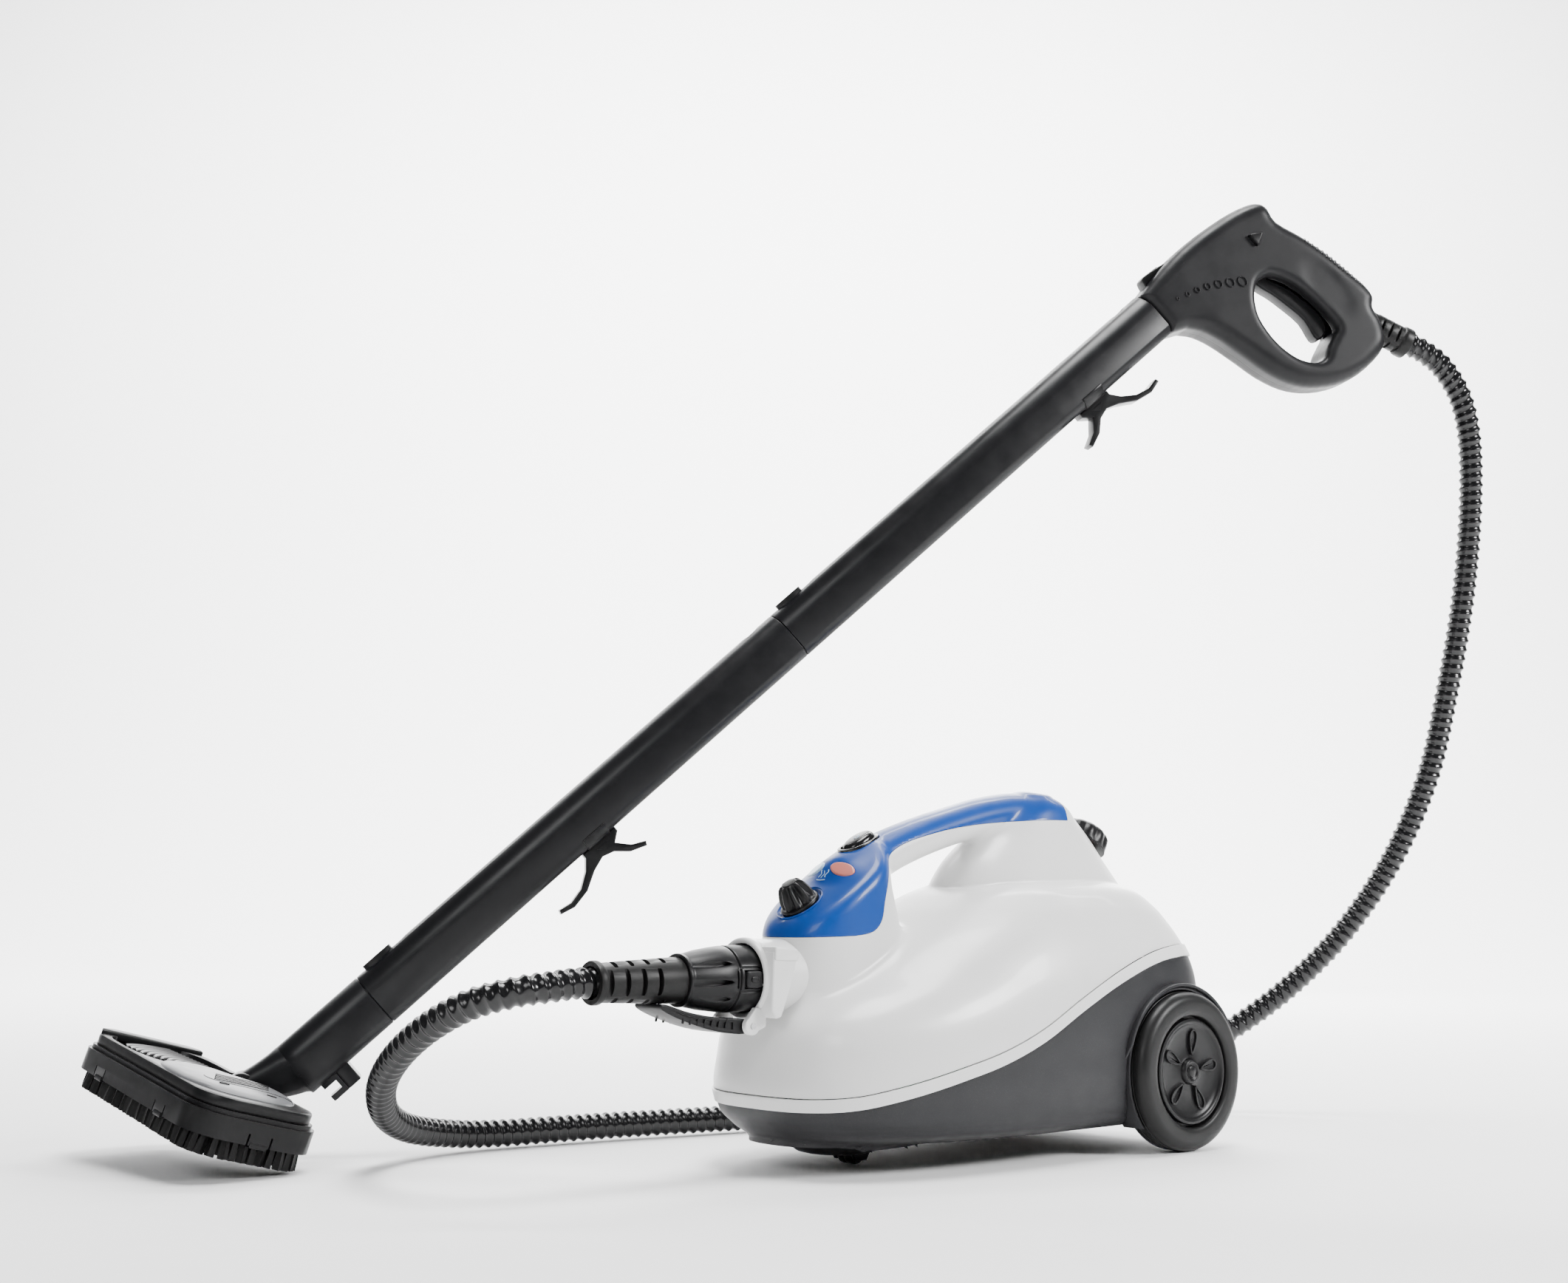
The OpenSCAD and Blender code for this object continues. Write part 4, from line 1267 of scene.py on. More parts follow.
    def base(self, solid: Obj, line: np.ndarray) -> None:
        """Graphite base with arches, liners, lips and underside details."""
        tub = self.piece(
            solid,
            "base_skin",
            (prism("low", [*[(x, z - 0.15) for x, z in line], (200, -20), (-260, -20)]), "INTERSECT"),
            *[(self.arch(s, 66), "DIFFERENCE") for s in (-1, 1)],
        )
        self.thicken(tub, 0, 0.45)
        parts = [tub]
        for side in (-1, 1):
            wheel = move(AXLE_X, side * ARCH_Y, AXLE_Z) @ turn("X", -90 * side)
            liner = turned(
                "liner",
                [
                    (9, 0), (63.4, 0), (65.6, 2.2), (65.6, 21.5), (63.4, 21.5), (63.4, 3.4), (62.2, 2.2),
                    (9, 2.2),
                ],
                72,
            )
            liner = shifted(bevelled(liner, 0.5, 2), wheel)
            cut(liner, prism("below", [(0, -40), (240, -40), (240, 20.2), (0, 20.2)]))
            parts.append(liner)
            parts.append(shifted(self.lip(side), wheel))
        whole = joined("base_skin", *parts)
        settle(whole, Skin.GRAPHITE, stands_for=["base_tub"], angle=34)

    def lip(self, side: int) -> Obj:
        """Thin fender lip over one wheel, thickest at the top."""
        rings = []
        for a in np.radians(np.arange(-172, -11, 4)):
            fade = min(1.0, (a + math.radians(174)) / 0.25, (math.radians(-10) - a) / 0.12)
            reach = 17.5 + 6.5 * max(fade, 0.05)
            direction = np.array([math.cos(a), side * math.sin(a), 0])
            section = [
                (65.8, 13), (68.2, 13), (68.6, reach - 1.2), (68.2, reach), (66.4, reach),
                (65.8, reach - 0.6),
            ]
            rings.append(np.array([direction * r + np.array([0, 0, z]) for r, z in section]))
        lip = skinned("lip", rings)
        return bevelled(lip, 0.3, 2, 50)

    def cover(self, solid: Obj, edge: np.ndarray) -> None:
        """Blue cover with the knob's dish and the holes for lenses and switch."""
        shade = self.piece(
            solid,
            "blue_cover",
            (
                prism(
                    "zone",
                    [(-240, 168.3), *[(x - 0.2, z + 0.3) for x, z in edge], (89, 320), (-240, 320)]
                ),
                "INTERSECT"
            ),
        )
        self.thicken(shade, 0, 0.0)
        holes = [
            slab("knob_hole", oval(19.4, 19.4), -12, 12),
            slab("lens_hole", oval(6.3, 10.8, 2, 40, 39, 15), -12, 12),
            slab("lens_hole", oval(6.3, 10.8, 2, 40, 39, -15), -12, 12),
            slab("switch_hole", oval(18.4, 12.9, 2.4, 48, 75, 0), -16, 14),
        ]
        cut(shade, *[shifted(h, PANEL) for h in holes])
        bevelled(shade, 0.5, 2, 55)
        settle(shade, Skin.BLUE, stands_for=["control_cover"], angle=34)


# ---------------------------------------------------------------- controls


def ridged(name: str, levels: Sequence[Point], lobes: int, steps: int = 96, sharp: float = 1.0) -> Obj:
    """Knob-like solid whose rings swell into lobes.

    Args:
        name: the object's name.
        levels: rows of height, radius and depth of the grooves.
        lobes: how many lobes go round.
        steps: points on each ring.
        sharp: above 1 the lobes get narrower.

    Returns:
        The closed solid.
    """
    a = np.linspace(0, FULL, steps, endpoint=False)
    wave = (0.5 + 0.5 * np.cos(lobes * a)) ** sharp
    rings = []
    for z, radius, depth in levels:
        r = radius - depth * (1 - wave)
        rings.append(np.stack([r * np.cos(a), r * np.sin(a), np.full(steps, float(z))], axis=1))
    return skinned(name, rings)


@dataclass
class Controls:
    """Steam knob, two lamp lenses, steam mark and the rocker on the blue cover."""

    knob_radius: float = 15.5
    lobes: int = 8

    def build(self) -> None:
        """Make every control."""
        self.knob()
        self.dish()
        self.lenses()
        self.marks()
        self.rocker()

    def knob(self) -> None:
        """Fluted knob on its skirt, with the shaft below."""
        r = self.knob_radius
        levels = [
            (-0.6, r - 1.2, 0), (-0.6, r - 0.2, 0), (0.2, r, 0), (2.0, r, 0), (2.8, r - 0.6, 0),
            (3.0, r - 2.0, 0.2),
        ]
        levels += [
            (3.6, r - 1.6, 2.6), (6, r - 1.7, 3.6), (9, r - 2.3, 4.2), (12, r - 3.2, 4.4),
            (15, r - 4.4, 4.3),
        ]
        levels += [
            (17.4, r - 5.6, 3.8), (19.0, r - 7.4, 2.2), (19.4, r - 8.6, 0.9), (19.2, r - 9.6, 0.1),
            (19.9, r - 10.0, 0), (20.1, r - 10.6, 0), (20.1, 0.5, 0),
        ]
        head = ridged("steam_knob_head", levels, self.lobes, 128, 1.5)
        shaft = turned("shaft", [(0, -34), (2.6, -34), (3.0, -33.4), (3.0, 0), (0, 0)], 32)
        settle(joined("steam_knob_head", head, shaft), Skin.BLACK, "knob", ["steam_knob"], PANEL, 50)

    def dish(self) -> None:
        """Recessed seat round the knob."""
        profile = [
            (3.3, -5), (19.2, -5), (19.3, 1.2), (18.9, 1.6), (18.3, 1.4), (17.4, -0.2), (16.6, -0.9),
            (3.3, -0.9),
        ]
        settle(turned("knob_dish", profile, 72), Skin.BLUE, stands_for=["knob_bezel"], place=PANEL)

    def lenses(self) -> None:
        """Two oval lenses with a domed top."""
        for side, skin, node in ((-1, Skin.RED_LENS, "lamp_left"), (1, Skin.CLEAR_LENS, "lamp_right")):
            lens = slab(f"{node}_lens", oval(6.2, 11.2, 2, 56), -6, 0.7, 1.4, 5)
            seat = PANEL @ move(39, 15 * side, 5.0) @ turn("X", -19 * side) @ turn("Y", -11)
            settle(lens, skin, stands_for=[node], place=seat, angle=60)

    def marks(self) -> None:
        """Small raised steam mark between the lenses: three rising wavy strokes."""
        strokes = []
        for i, y in enumerate((-3.4, 0, 3.4)):
            x0 = 29.5 - 0.8 * (i == 1)
            line = [
                (x0 + 1.6 * k, y + 0.9 * math.sin(k * 1.6 + i), 4.35 + 0.36 * (x0 + 1.6 * k - 30))
                for k in range(5)
            ]
            strokes.append(along("stroke", smooth_line(line, 6), 0.42, 8))
        strokes.append(
            along(
                "stroke", smooth_line([(27.2, -4.6, 3.5), (26.6, 0, 3.6), (27.2, 4.6, 3.5)], 6), 0.42, 8,
            )
        )
        settle(joined("steam_mark", *strokes), Skin.CLEAR_LENS, place=PANEL, angle=60)

    def rocker(self) -> None:
        """Pebble-shaped rocker with an on-off mark, in its oval frame."""
        seat = PANEL @ move(75, 0, -5) @ turn("Y", 6)
        pebble = slab("rocker_pebble", oval(14.8, 9.8, 2.3, 64), -2, 13.0, 3.6, 6)
        for vertex in pebble.data.vertices:
            if vertex.co.z > 2:
                vertex.co.z += 1.3 - 0.006 * vertex.co.x**2 - 0.008 * vertex.co.y**2
        pin = slab("pin", oval(1.5, 1.5, 2, 24), -11.3, 11.3)
        pin.data.transform(turn("X", 90))
        settle(joined("rocker_pebble", pebble, pin), Skin.GLOSS_BLACK, "rocker", ["rocker_switch"], seat, 60)
        curve = [(x, y, 14.25) for x, y in arc(2.4, 40, 321, 20)]
        ring = along("power_mark", np.array(curve), 0.22, 6)
        bar = along("bar", np.array([(0.6, 0, 14.28), (3.2, 0, 14.25)]), 0.22, 6)
        settle(joined("power_mark", ring, bar), Skin.CLEAR_LENS, "rocker", (), seat, 60)
        frame_ring = slab("switch_ring", oval(18.2, 12.7, 2.4, 64), -9, 0.5, 0.5, 2)
        cut(frame_ring, slab("hole", oval(15.5, 10.3, 2.4, 64), -20, 20))
        settle(
            frame_ring, Skin.GLOSS_BLACK, stands_for=["switch_frame"],
            place=PANEL @ move(75, 0, 4.7) @ turn("Y", 13),
        )


@dataclass
class FillerCap:
    """Screw cap of the boiler at the back of the hump."""

    radius: float = 23.4
    grips: int = 12

    def build(self) -> None:
        """Make the cap with its threaded stem."""
        r = self.radius
        levels = [
            (0.3, r - 1.4, 0), (0.3, r - 0.4, 0), (0.9, r, 0), (2.2, r, 0.4), (6, r + 0.2, 1.5),
            (11.5, r - 0.4, 1.5),
        ]
        levels += [
            (14.6, r - 2.6, 1.0), (17.0, r - 6.4, 0.5), (18.6, r - 11, 0.2), (19.3, 7.0, 0),
            (19.4, 0.5, 0),
        ]
        head = ridged("filler_cap_head", levels, self.grips, 144, 0.7)
        stem = [(0, 0.4), (9.9, 0.4)]
        for k in range(8):
            z = -2.5 - 3 * k
            stem += [(8.9, z), (8.9, z - 0.8), (9.9, z - 1.4), (9.9, z - 2.0)]
        stem += [(9.0, -26), (0, -26)]
        thread = turned("stem", stem, 48)
        settle(joined("filler_cap_head", head, thread), Skin.BLACK, "cap", ["boiler_cap"], CAP, 40)


# ---------------------------------------------------------------- socket, plug and flap


@dataclass
class SocketAndPlug:
    """White collar with its gusset, the hose's plug and sleeve, and the flap below."""

    collar: float = 28.0
    barrel: float = 24.0

    def build(self) -> None:
        """Make the collar, the plug, its button, the sleeve and the flap."""
        self.collar_ring()
        self.plug()
        self.button()
        self.sleeve()
        self.flap()

    def collar_ring(self) -> None:
        """Collar with a rolled rim, gusset boss and the flap's two ears."""
        r = self.collar
        profile = [(25.15, -44), (r, -48), (r + 0.3, -12), (r + 0.3, -7.4), (r + 0.7, -6.8), (r + 1.3, -6.0)]
        profile += [
            (r + 1.5, -3.2), (r + 1.3, -1.2), (r + 0.4, -0.1), (r - 0.6, 0.2), (26.2, 0.1), (25.3, -0.7),
            (25.15, -2),
        ]
        ring = shifted(turned("collar_skin", profile, 96), SOCKET)
        side = [
            (-236.5, 160), (-219, 158.5), (-214.5, 154), (-215.5, 148), (-222, 130), (-229, 113),
            (-234, 112), (-238, 118),
        ]
        boss = bevelled(prism("boss", side, -33.5, -14), 1.6, 4, 50)
        pad = [(-236, 163.5), (-216, 161.5), (-213, 158), (-214.5, 152.5), (-236, 153.5)]
        bump = bevelled(prism("bump", pad, -35, -12), 1.4, 4, 50)
        parts = [ring, boss, bump]
        for side_sign in (-1, 1):
            ear = arc(6.6, 120, 331, 15, -246, 107)
            ear += [(-234, 106), (-233, 118), (-243, 120)]
            y = side_sign * 19
            parts.append(bevelled(prism("ear", ear, y - 2.4, y + 2.4), 0.7, 3, 50))
        settle(joined("collar_skin", *parts), Skin.WHITE, stands_for=["socket_collar"], angle=40)

    def plug(self) -> None:
        """Barrel with a locking groove, ring groove, tapered grip and side slots."""
        r = self.barrel
        profile = [
            (6.2, -28), (22.6, -28), (r, -26.6), (r, 16.4), (r - 0.3, 17.4), (r - 1.5, 17.8),
            (r - 1.5, 19.2),
        ]
        profile += [(r - 0.4, 19.6), (r - 0.2, 20.6), (22.8, 30), (21.2, 42), (18.6, 54), (18.2, 55.6)]
        profile += [(18.9, 56), (18.9, 58.2), (18.2, 58.8), (6.2, 58.8)]
        plug = shifted(turned("plug_barrel", profile, 96), SOCKET)
        rounded = oval(12.2, 9.6, 5, 48, -249.5, 140)
        inner = oval(10.6, 8.0, 5, 48, -249.5, 140)
        groove = prism("groove", rounded, -40, -21.3)
        cut(groove, prism("kept", inner, -60, 60))
        pocket = prism("pocket", [(-255, 133.4), (-239.6, 133.4), (-239.6, 146.6), (-255, 146.6)], -40, -18.6)
        slots = []
        for z in (138.5, 151.5, 126.5):
            slot = smooth_line(
                [
                    (-297, z - 2.6), (-280, z - 2.2), (-268, z - 1.4), (-264.5, z), (-268, z + 1.4),
                    (-280, z + 2.2), (-297, z + 2.6),
                ],
                3,
            )
            depth = 17.2 if z == 138.5 else 15.4
            slots.append(prism("slot", slot.tolist(), -40, -depth))
        cut(plug, groove, pocket, *slots)
        bevelled(plug, 0.4, 2, 50)
        settle(plug, Skin.BLACK, stands_for=["connector_body"], angle=36)
        screw = turned(
            "plug_screw", [
                (0, 0), (1.7, 0), (1.7, 0.7), (1.2, 1.1), (0.5, 1.1), (0.4, 0.6), (0, 0.6),
            ], 24,
        )
        settle(screw, Skin.STEEL, place=move(-262.6, -21.6, 138.5) @ turn("X", 90))

    def button(self) -> None:
        """Locking button in the barrel's pocket."""
        outline = oval(7.2, 6.1, 4.5, 40, -247.3, 140)
        body = bevelled(prism("plug_lock", outline, -25.6, -21.5), 0.9, 3, 50)
        bar = bevelled(prism("bar", oval(3.4, 2.2, 3, 32, -247.3, 140), -26.5, -25), 0.5, 2, 50)
        settle(joined("plug_lock", body, bar), Skin.BLACK, "plug_button", ["connector_button"], angle=50)

    def sleeve(self) -> None:
        """Kink sleeve with rows of curved slots and an end ring."""
        profile = [
            (9.1, 59.2), (16.2, 59.2), (16.4, 60), (15.9, 76), (14.4, 108), (13.6, 125.6), (13.9, 126.4),
        ]
        profile += [
            (15.1, 127.2), (15.3, 128.2), (15.3, 131), (14.8, 132), (11.6, 132), (11.4, 126.4), (9.1, 126),
        ]
        sleeve = shifted(turned("plug_sleeve", profile, 72), SOCKET)
        cuts = []
        for i in range(4):
            x = -316 - 13.5 * i
            for facing in (0, 90, 180, 270):
                shift = 6.7 if facing in (90, 270) else 0
                bar = slab("gap", oval(1.9, 9.4, 6, 24, x - shift, 0), 10.4, 22)
                cuts.append(shifted(bar, move(0, 0, 140) @ turn("X", facing)))
        cut(sleeve, *cuts)
        bevelled(sleeve, 0.35, 2, 50)
        settle(sleeve, Skin.RUBBER, stands_for=["connector_relief"], angle=36)

    def flap(self) -> None:
        """Long curved flap with a ribbed side, hinged below the collar."""
        side = [
            (3.6, 2.4), (4.5, -1), (2.2, -4.2), (-8, -5.6), (-34, -1.6), (-60, 6.4), (-75.4, 13.2),
            (-77.4, 16.8),
        ]
        side += [(-74, 17.6), (-69, 16.4), (-52, 11.3), (-30, 7.3), (-12, 5.9), (-2, 4.6)]
        outline = smooth_line(side, 4, closed=True)
        blade = bevelled(prism("socket_flap_lid", outline.tolist(), -16, 16), 1.5, 4, 50)
        hollow = [(-14, -2.2), (-34, 1.4), (-58, 8.6), (-66, 12.4), (-52, 8.4), (-30, 4.4), (-14, 3.0)]
        for y in (-17, 15.0):
            cut(blade, prism("hollow", hollow, y, y + 2))
        cut(blade, prism("bore", oval(2.3, 2.3, 2, 32), -30, 30))
        ribs = []
        for i in range(7):
            x = -20 - 6.4 * i
            z = 1.2 + 0.0016 * (x + 14) ** 2
            for y in (-15.7, 15.7):
                rib = slab("rib", oval(0.7, 3.4 - 0.25 * i, 3, 16), -0.6, 0.6)
                ribs.append(shifted(rib, move(x, y, z + 1.2) @ turn("Y", 14) @ turn("X", 90)))
        whole = joined("socket_flap_lid", blade, *ribs)
        settle(whole, Skin.BLACK, "flap", ["socket_flap"], move(-246, 0, 107), 40)


# ---------------------------------------------------------------- wheels


@dataclass
class RunningGear:
    """Two rear wheels with dished caps, and the swivelling front roller."""

    radius: float = 62.0
    petals: int = 5

    def build(self) -> None:
        """Make both wheels and the caster."""
        tyre, cap = self.tyre(), self.hubcap()
        for side, place in (("left", LEFT_WHEEL), ("right", RIGHT_WHEEL)):
            tread = copied(tyre, f"tyre_{side}")
            settle(tread, Skin.TYRE, f"{side}_wheel", [f"wheel_{side}"], place, 40)
            disc = copied(cap, f"hub_disc_{side}")
            settle(disc, Skin.BLACK, f"{side}_wheel", [f"hubcap_{side}"], place, 40)
        bpy.data.objects.remove(tyre)
        bpy.data.objects.remove(cap)
        self.caster()

    def tyre(self) -> Obj:
        """Wheel with a rounded tread, two fine tread grooves and a ring groove in its face."""
        r = self.radius
        shoulder = arc(8.5, -90, 1, 10, r - 8.5, -6.5)
        upper = arc(8.5, 0, 91, 10, r - 8.5, 6.5)
        tread = [
            (r, -4.4), (r - 0.5, -4.1), (r - 0.5, -3.5), (r, -3.2), (r, 3.2), (r - 0.5, 3.5),
            (r - 0.5, 4.1), (r, 4.4),
        ]
        profile = [
            (5.06, -14), (13, -14), (15, -4), (40, -4), (42, -12), (46, -15), *shoulder, *tread, *upper,
        ]
        profile += [
            (48, 15.0), (45.4, 14.6), (44.0, 13.8), (43.4, 12.6), (43.2, 6.2), (13, 6.0), (12.6, 4),
            (5.06, 4),
        ]
        return turned("tyre", profile, 128)

    def hubcap(self) -> Obj:
        """Dished disc with teardrop petals round a ringed boss."""
        profile = [
            (0, 7.9), (40.2, 7.9), (41.0, 8.6), (41.2, 11.6), (40.6, 12.8), (39.2, 13.3), (37.6, 13.0),
            (36.6, 12.0),
        ]
        profile += [
            (35.4, 10.9), (31, 9.9), (22, 9.3), (11.6, 9.1), (10.4, 9.6), (9.8, 11.2), (9.0, 12.6),
            (7.8, 13.1),
        ]
        profile += [(6.6, 12.8), (6.0, 12.0), (5.2, 11.8), (4.6, 12.2), (4.2, 13.2), (3.4, 13.6), (0, 13.7)]
        parts = [turned("hub_disc", profile, 128)]
        petal = self.petal()
        for k in range(self.petals):
            parts.append(copied(petal, f"petal_{k}", turn("Z", 80 - 72 * k)))
        bpy.data.objects.remove(petal)
        return joined("hub_disc", *parts)

    def petal(self) -> Obj:
        """One raised teardrop with a sunken middle."""
        points = []
        for i in range(40):
            a = FULL * i / 40
            t = 0.5 - 0.5 * math.cos(a)
            half = 6.4 * math.sin(a) * (0.3 + 0.7 * t)
            points.append((12.6 + 20.5 * t, half))
        petal = slab("petal", points, 8.6, 11.6)
        sunk_top(petal, 1.25, 1.5)
        return bevelled(petal, 0.55, 3, 40)

    def caster(self) -> None:
        """Low swivelling dome with a fork and its roller."""
        dome = [
            (0, 10.2), (24, 10.0), (30, 11.4), (34.4, 14.4), (35.9, 17.2), (35.6, 18.8), (34.6, 19.5),
            (7.4, 19.5),
        ]
        dome += [(5, 19.9), (5, 23.1), (6.8, 23.5), (6.8, 24.8), (5.4, 25.4), (5, 28.4), (0, 28.4)]
        plate = turned("caster_plate", dome, 96)
        cut(plate, box("gap", (5, 23), (-8.4, 8.4), (0, 14.6)))
        parts = [plate]
        for y in (-10.8, 10.8):
            cheek = slab(
                "cheek", [(-8, -5), (8, -5), (8.4, 0), (5, 5.8), (-5, 5.8), (-8.4, 0)], -2.2, 2.2, 0.6, 2,
            )
            parts.append(shifted(cheek, move(14, y, 9) @ turn("X", -90)))
        settle(joined("caster_plate", *parts), Skin.BLACK, "caster_swivel", ["caster_dome"], move(-148, 0, 0))
        profile = [
            (1.6, -8), (5.8, -8), (6.7, -7.2), (7, -6), (7, -0.5), (6.7, 0), (7, 0.5), (7, 6), (6.7, 7.2),
            (5.8, 8), (1.6, 8),
        ]
        roller = shifted(turned("front_roller", profile, 48), turn("X", 90))
        settle(roller, Skin.BLACK, "roller", ["caster_roller"], move(-134, 0, 7))


# ---------------------------------------------------------------- gun


def outline_distance(p: np.ndarray, outline: np.ndarray) -> np.ndarray:
    """Signed distance of points to a closed outline.

    Args:
        p: points, x and y in the first two columns.
        outline: corners in order.

    Returns:
        Positive inside, negative outside.
    """
    q = p[:, :2]
    best = np.full(len(q), 1e9)
    inside = np.zeros(len(q), bool)
    for a, b in zip(outline, np.roll(outline, -1, axis=0)):
        e = b - a
        t = np.clip(((q - a) @ e) / max(e @ e, 1e-9), 0, 1)
        best = np.minimum(best, np.linalg.norm(q - a - t[:, None] * e, axis=1))
        crosses = (a[1] > q[:, 1]) != (b[1] > q[:, 1])
        rise = b[1] - a[1] if b[1] != a[1] else 1e-9
        inside ^= crosses & (q[:, 0] < (b[0] - a[0]) * (q[:, 1] - a[1]) / rise + a[0])
    return np.where(inside, best, -best)


@dataclass
class SteamGun:
    """Pistol-grip gun with a closed finger loop, trigger, lock, latch and tail sleeve."""

    half: float = 21.9
    outline: tuple[Point, ...] = (
        (0.4, 21), (33, 27.5), (68, 29.5), (110, 26), (136, 20.5), (148, 14), (151.5, 5), (149.5, -9),
        (159, -33), (167, -58), (172.5, -84), (176.5, -106), (175, -119), (168, -126), (165.5, -138),
        (157, -154), (143, -161.5), (114, -162), (90, -155), (70, -142), (56, -126), (46, -105),
        (39, -80), (32, -56), (24, -39), (14, -28), (0.4, -22),
    )
    loop: tuple[Point, ...] = (
        (91, -40), (80, -50), (72, -66), (70, -90), (75, -112), (85, -126), (95, -130), (105, -125),
        (116, -121), (124, -117), (126, -103), (124, -80), (119, -60), (110, -44), (101, -39),
    )
    trigger_side: tuple[Point, ...] = (
        (98, -43), (103, -57), (107, -73), (110.5, -93), (107.5, -111), (112, -116), (121, -113),
        (125.5, -104), (124.5, -84), (118, -60), (109, -42), (110, -33), (104, -29), (98, -32),
    )

    outer_line: np.ndarray = field(init=False)
    loop_line: np.ndarray = field(init=False)

    def __post_init__(self) -> None:
        """Smooth both outlines once."""
        smooth = smooth_line(self.outline[:-1], 3)
        self.outer_line = np.vstack([smooth, [self.outline[-1]]])
        self.loop_line = smooth_line(self.loop, 4, closed=True)

    def build(self) -> None:
        """Make the shells and everything on them."""
        self.shells()
        self.trigger()
        self.lock()
        self.latch()
        self.tail()

    def value(self, p: np.ndarray) -> np.ndarray:
        """Signed value of the rounded gun form with its loop."""
        outer = outline_distance(p, self.outer_line)
        hole = -outline_distance(p, self.loop_line)
        z = np.abs(p[:, 2])
        near = np.clip(p[:, 0] / 40, 0, 1)
        w = 9 + 5 * near
        half = self.half - 2.6 * (1 - near)
        body = np.hypot(np.maximum(w - outer, 0), np.maximum(z - (half - w), 0)) - w
        rim = np.hypot(np.maximum(8 - hole, 0), np.maximum(z - (self.half - 8), 0)) - 8
        pinch = 1.3 * np.exp(-(((p[:, 0] - 141) / 17) ** 2 + ((p[:, 1] + 86) / 34) ** 2) ** 3)
        form = soft_max(body, rim, 3)
        grip = soft_max(form, z - (self.half - pinch), 1.0)
        return soft_max(grip, 0.4 - p[:, 0], 0.8)

    def shells(self) -> None:
        """Two shell halves with a fine seam between them, ribs, drops and pockets."""
        blank = slab("gun_blank", self.outer_line.tolist(), -self.half, self.half)
        cut(blank, slab("loop", self.loop_line.tolist(), -40, 40))
        modify(blank, "REMESH", mode="VOXEL", voxel_size=1.7)
        for last in (False, False, True):
            draw_on(blank, self.value, 4, 0.2, 0.2, 2.5)
            if not last:
                modify(blank, "SMOOTH", factor=0.5, iterations=2)
        for cutter in self.pockets():
            cut(blank, cutter)
        for name, node, z in (
            ("gun_half_left", "gun_shell_left", 1), ("gun_half_right", "gun_shell_right", -1),
        ):
            part = copied(blank, name)
            keep = box("half", (-40, 240), (-220, 80), (0.12, 60))
            if z < 0:
                keep.data.transform(move(0, 0, -60.12))
            cut(part, keep, operation="INTERSECT")
            bevelled(part, 0.35, 2, 60)
            trims = self.trims(z)
            settle(joined(name, part, *trims), Skin.GUN, stands_for=[node], place=GUN, angle=40)
        bpy.data.objects.remove(blank)

    def pockets(self) -> list[Obj]:
        """Cutters for the trigger's slot, latch, lock, tail and socket."""
        slot = [
            (95, -46), (99, -58), (103, -73), (106, -92), (104.5, -111), (110, -119), (147, -119),
            (137, -70), (124, -42), (113, -27), (103, -25.5), (94.5, -29),
        ]
        lock = [
            (113.3, -14.0), (114.6, -14.4), (124.9, -9.0), (125.4, -8.0), (124.9, -7.0), (114.6, -1.6),
            (113.3, -2.0),
        ]
        tail = slab("tail", oval(12.8, 12.8), 0, 44)
        return [
            slab("slot", slot, -8.7, 8.7),
            box("latch", (11.6, 46), (12, 40), (-8.2, 8.2)),
            slab("lock", lock, -40, 40),
            shifted(tail, move(158, -128, 0) @ turn("Y", 90) @ turn("X", 66) @ move(0, 0, -0.4)),
        ]

    def trims(self, side: int) -> list[Obj]:
        """Grip ribs and growing drops on one face.

        Args:
            side: 1 for the near face, -1 for the far one.

        Returns:
            The small raised pieces.
        """
        parts = []
        back = smooth_line([(160.6, -38), (167.6, -60), (172.2, -82), (175.4, -103)], 5)
        spots = np.linspace(0, len(back) - 1, 15)
        for k, s in enumerate(spots):
            x, y = [np.interp(s, range(len(back)), back[:, i]) for i in (0, 1)]
            reach = 19.2 + 1.4 * math.sin(math.pi * k / 14)
            line = []
            for z in np.linspace(0.4, reach, 14):
                drop = 14 - math.sqrt(196 - max(0.0, z - 7.9) ** 2)
                line.append((x - 0.975 * drop, y - 0.222 * drop, z))
            bar = along("rib", np.array(line), 0.95, 8)
            if side < 0:
                bar.data.transform(Matrix.Scale(-1, 4, (0, 0, 1)))
                bar.data.flip_normals()
            parts.append(bar)
        for k in range(7):
            f = k / 6
            x, y = 21.6 + 58 * f, -2.6 - 26.5 * f**0.9 + 5 * math.sin(math.pi * f)
            a = np.linspace(0, FULL, 28, endpoint=False)
            r = (1.4 + 3.3 * f) * (1 + 0.16 * np.cos(a))
            z = side * (self.half - 2.6 * (1 - min(x / 40, 1)) + 0.02)
            ring = np.stack([x + 0.8 * r * np.cos(a), y + r * np.sin(a), np.full(28, z)], axis=1)
            parts.append(along("drop", np.vstack([ring, ring[:2]]), 0.55, 8))
        return parts

    def trigger(self) -> None:
        """Curved trigger with a rounded front and its pivot."""
        blade = slab(
            "gun_trigger_blade", smooth_line(self.trigger_side, 3, closed=True).tolist(), -8, 8, 2.4, 4,
        )
        pivot = turned("pivot", [(0, -11), (2.6, -11), (3, -10.6), (3, 10.6), (2.6, 11), (0, 11)], 32)
        shifted(pivot, move(104, -36, 0))
        settle(joined("gun_trigger_blade", blade, pivot), Skin.BLACK, "trigger", ["gun_trigger"], GUN, 50)

    def lock(self) -> None:
        """Triangular lock button that goes right through the gun."""
        points = [
            (-5.5, -5.5), (-4.4, -5.9), (5.0, -0.8), (5.5, 0), (5.0, 0.8), (-4.4, 5.9), (-5.5, 5.5),
            (-5.9, 0),
        ]
        pin = slab("gun_lock_pin", points, -22, 25.2, 1.4, 3)
        settle(pin, Skin.BLACK, "trigger_lock", ["gun_lock"], GUN @ move(119.5, -8, 0), 50)

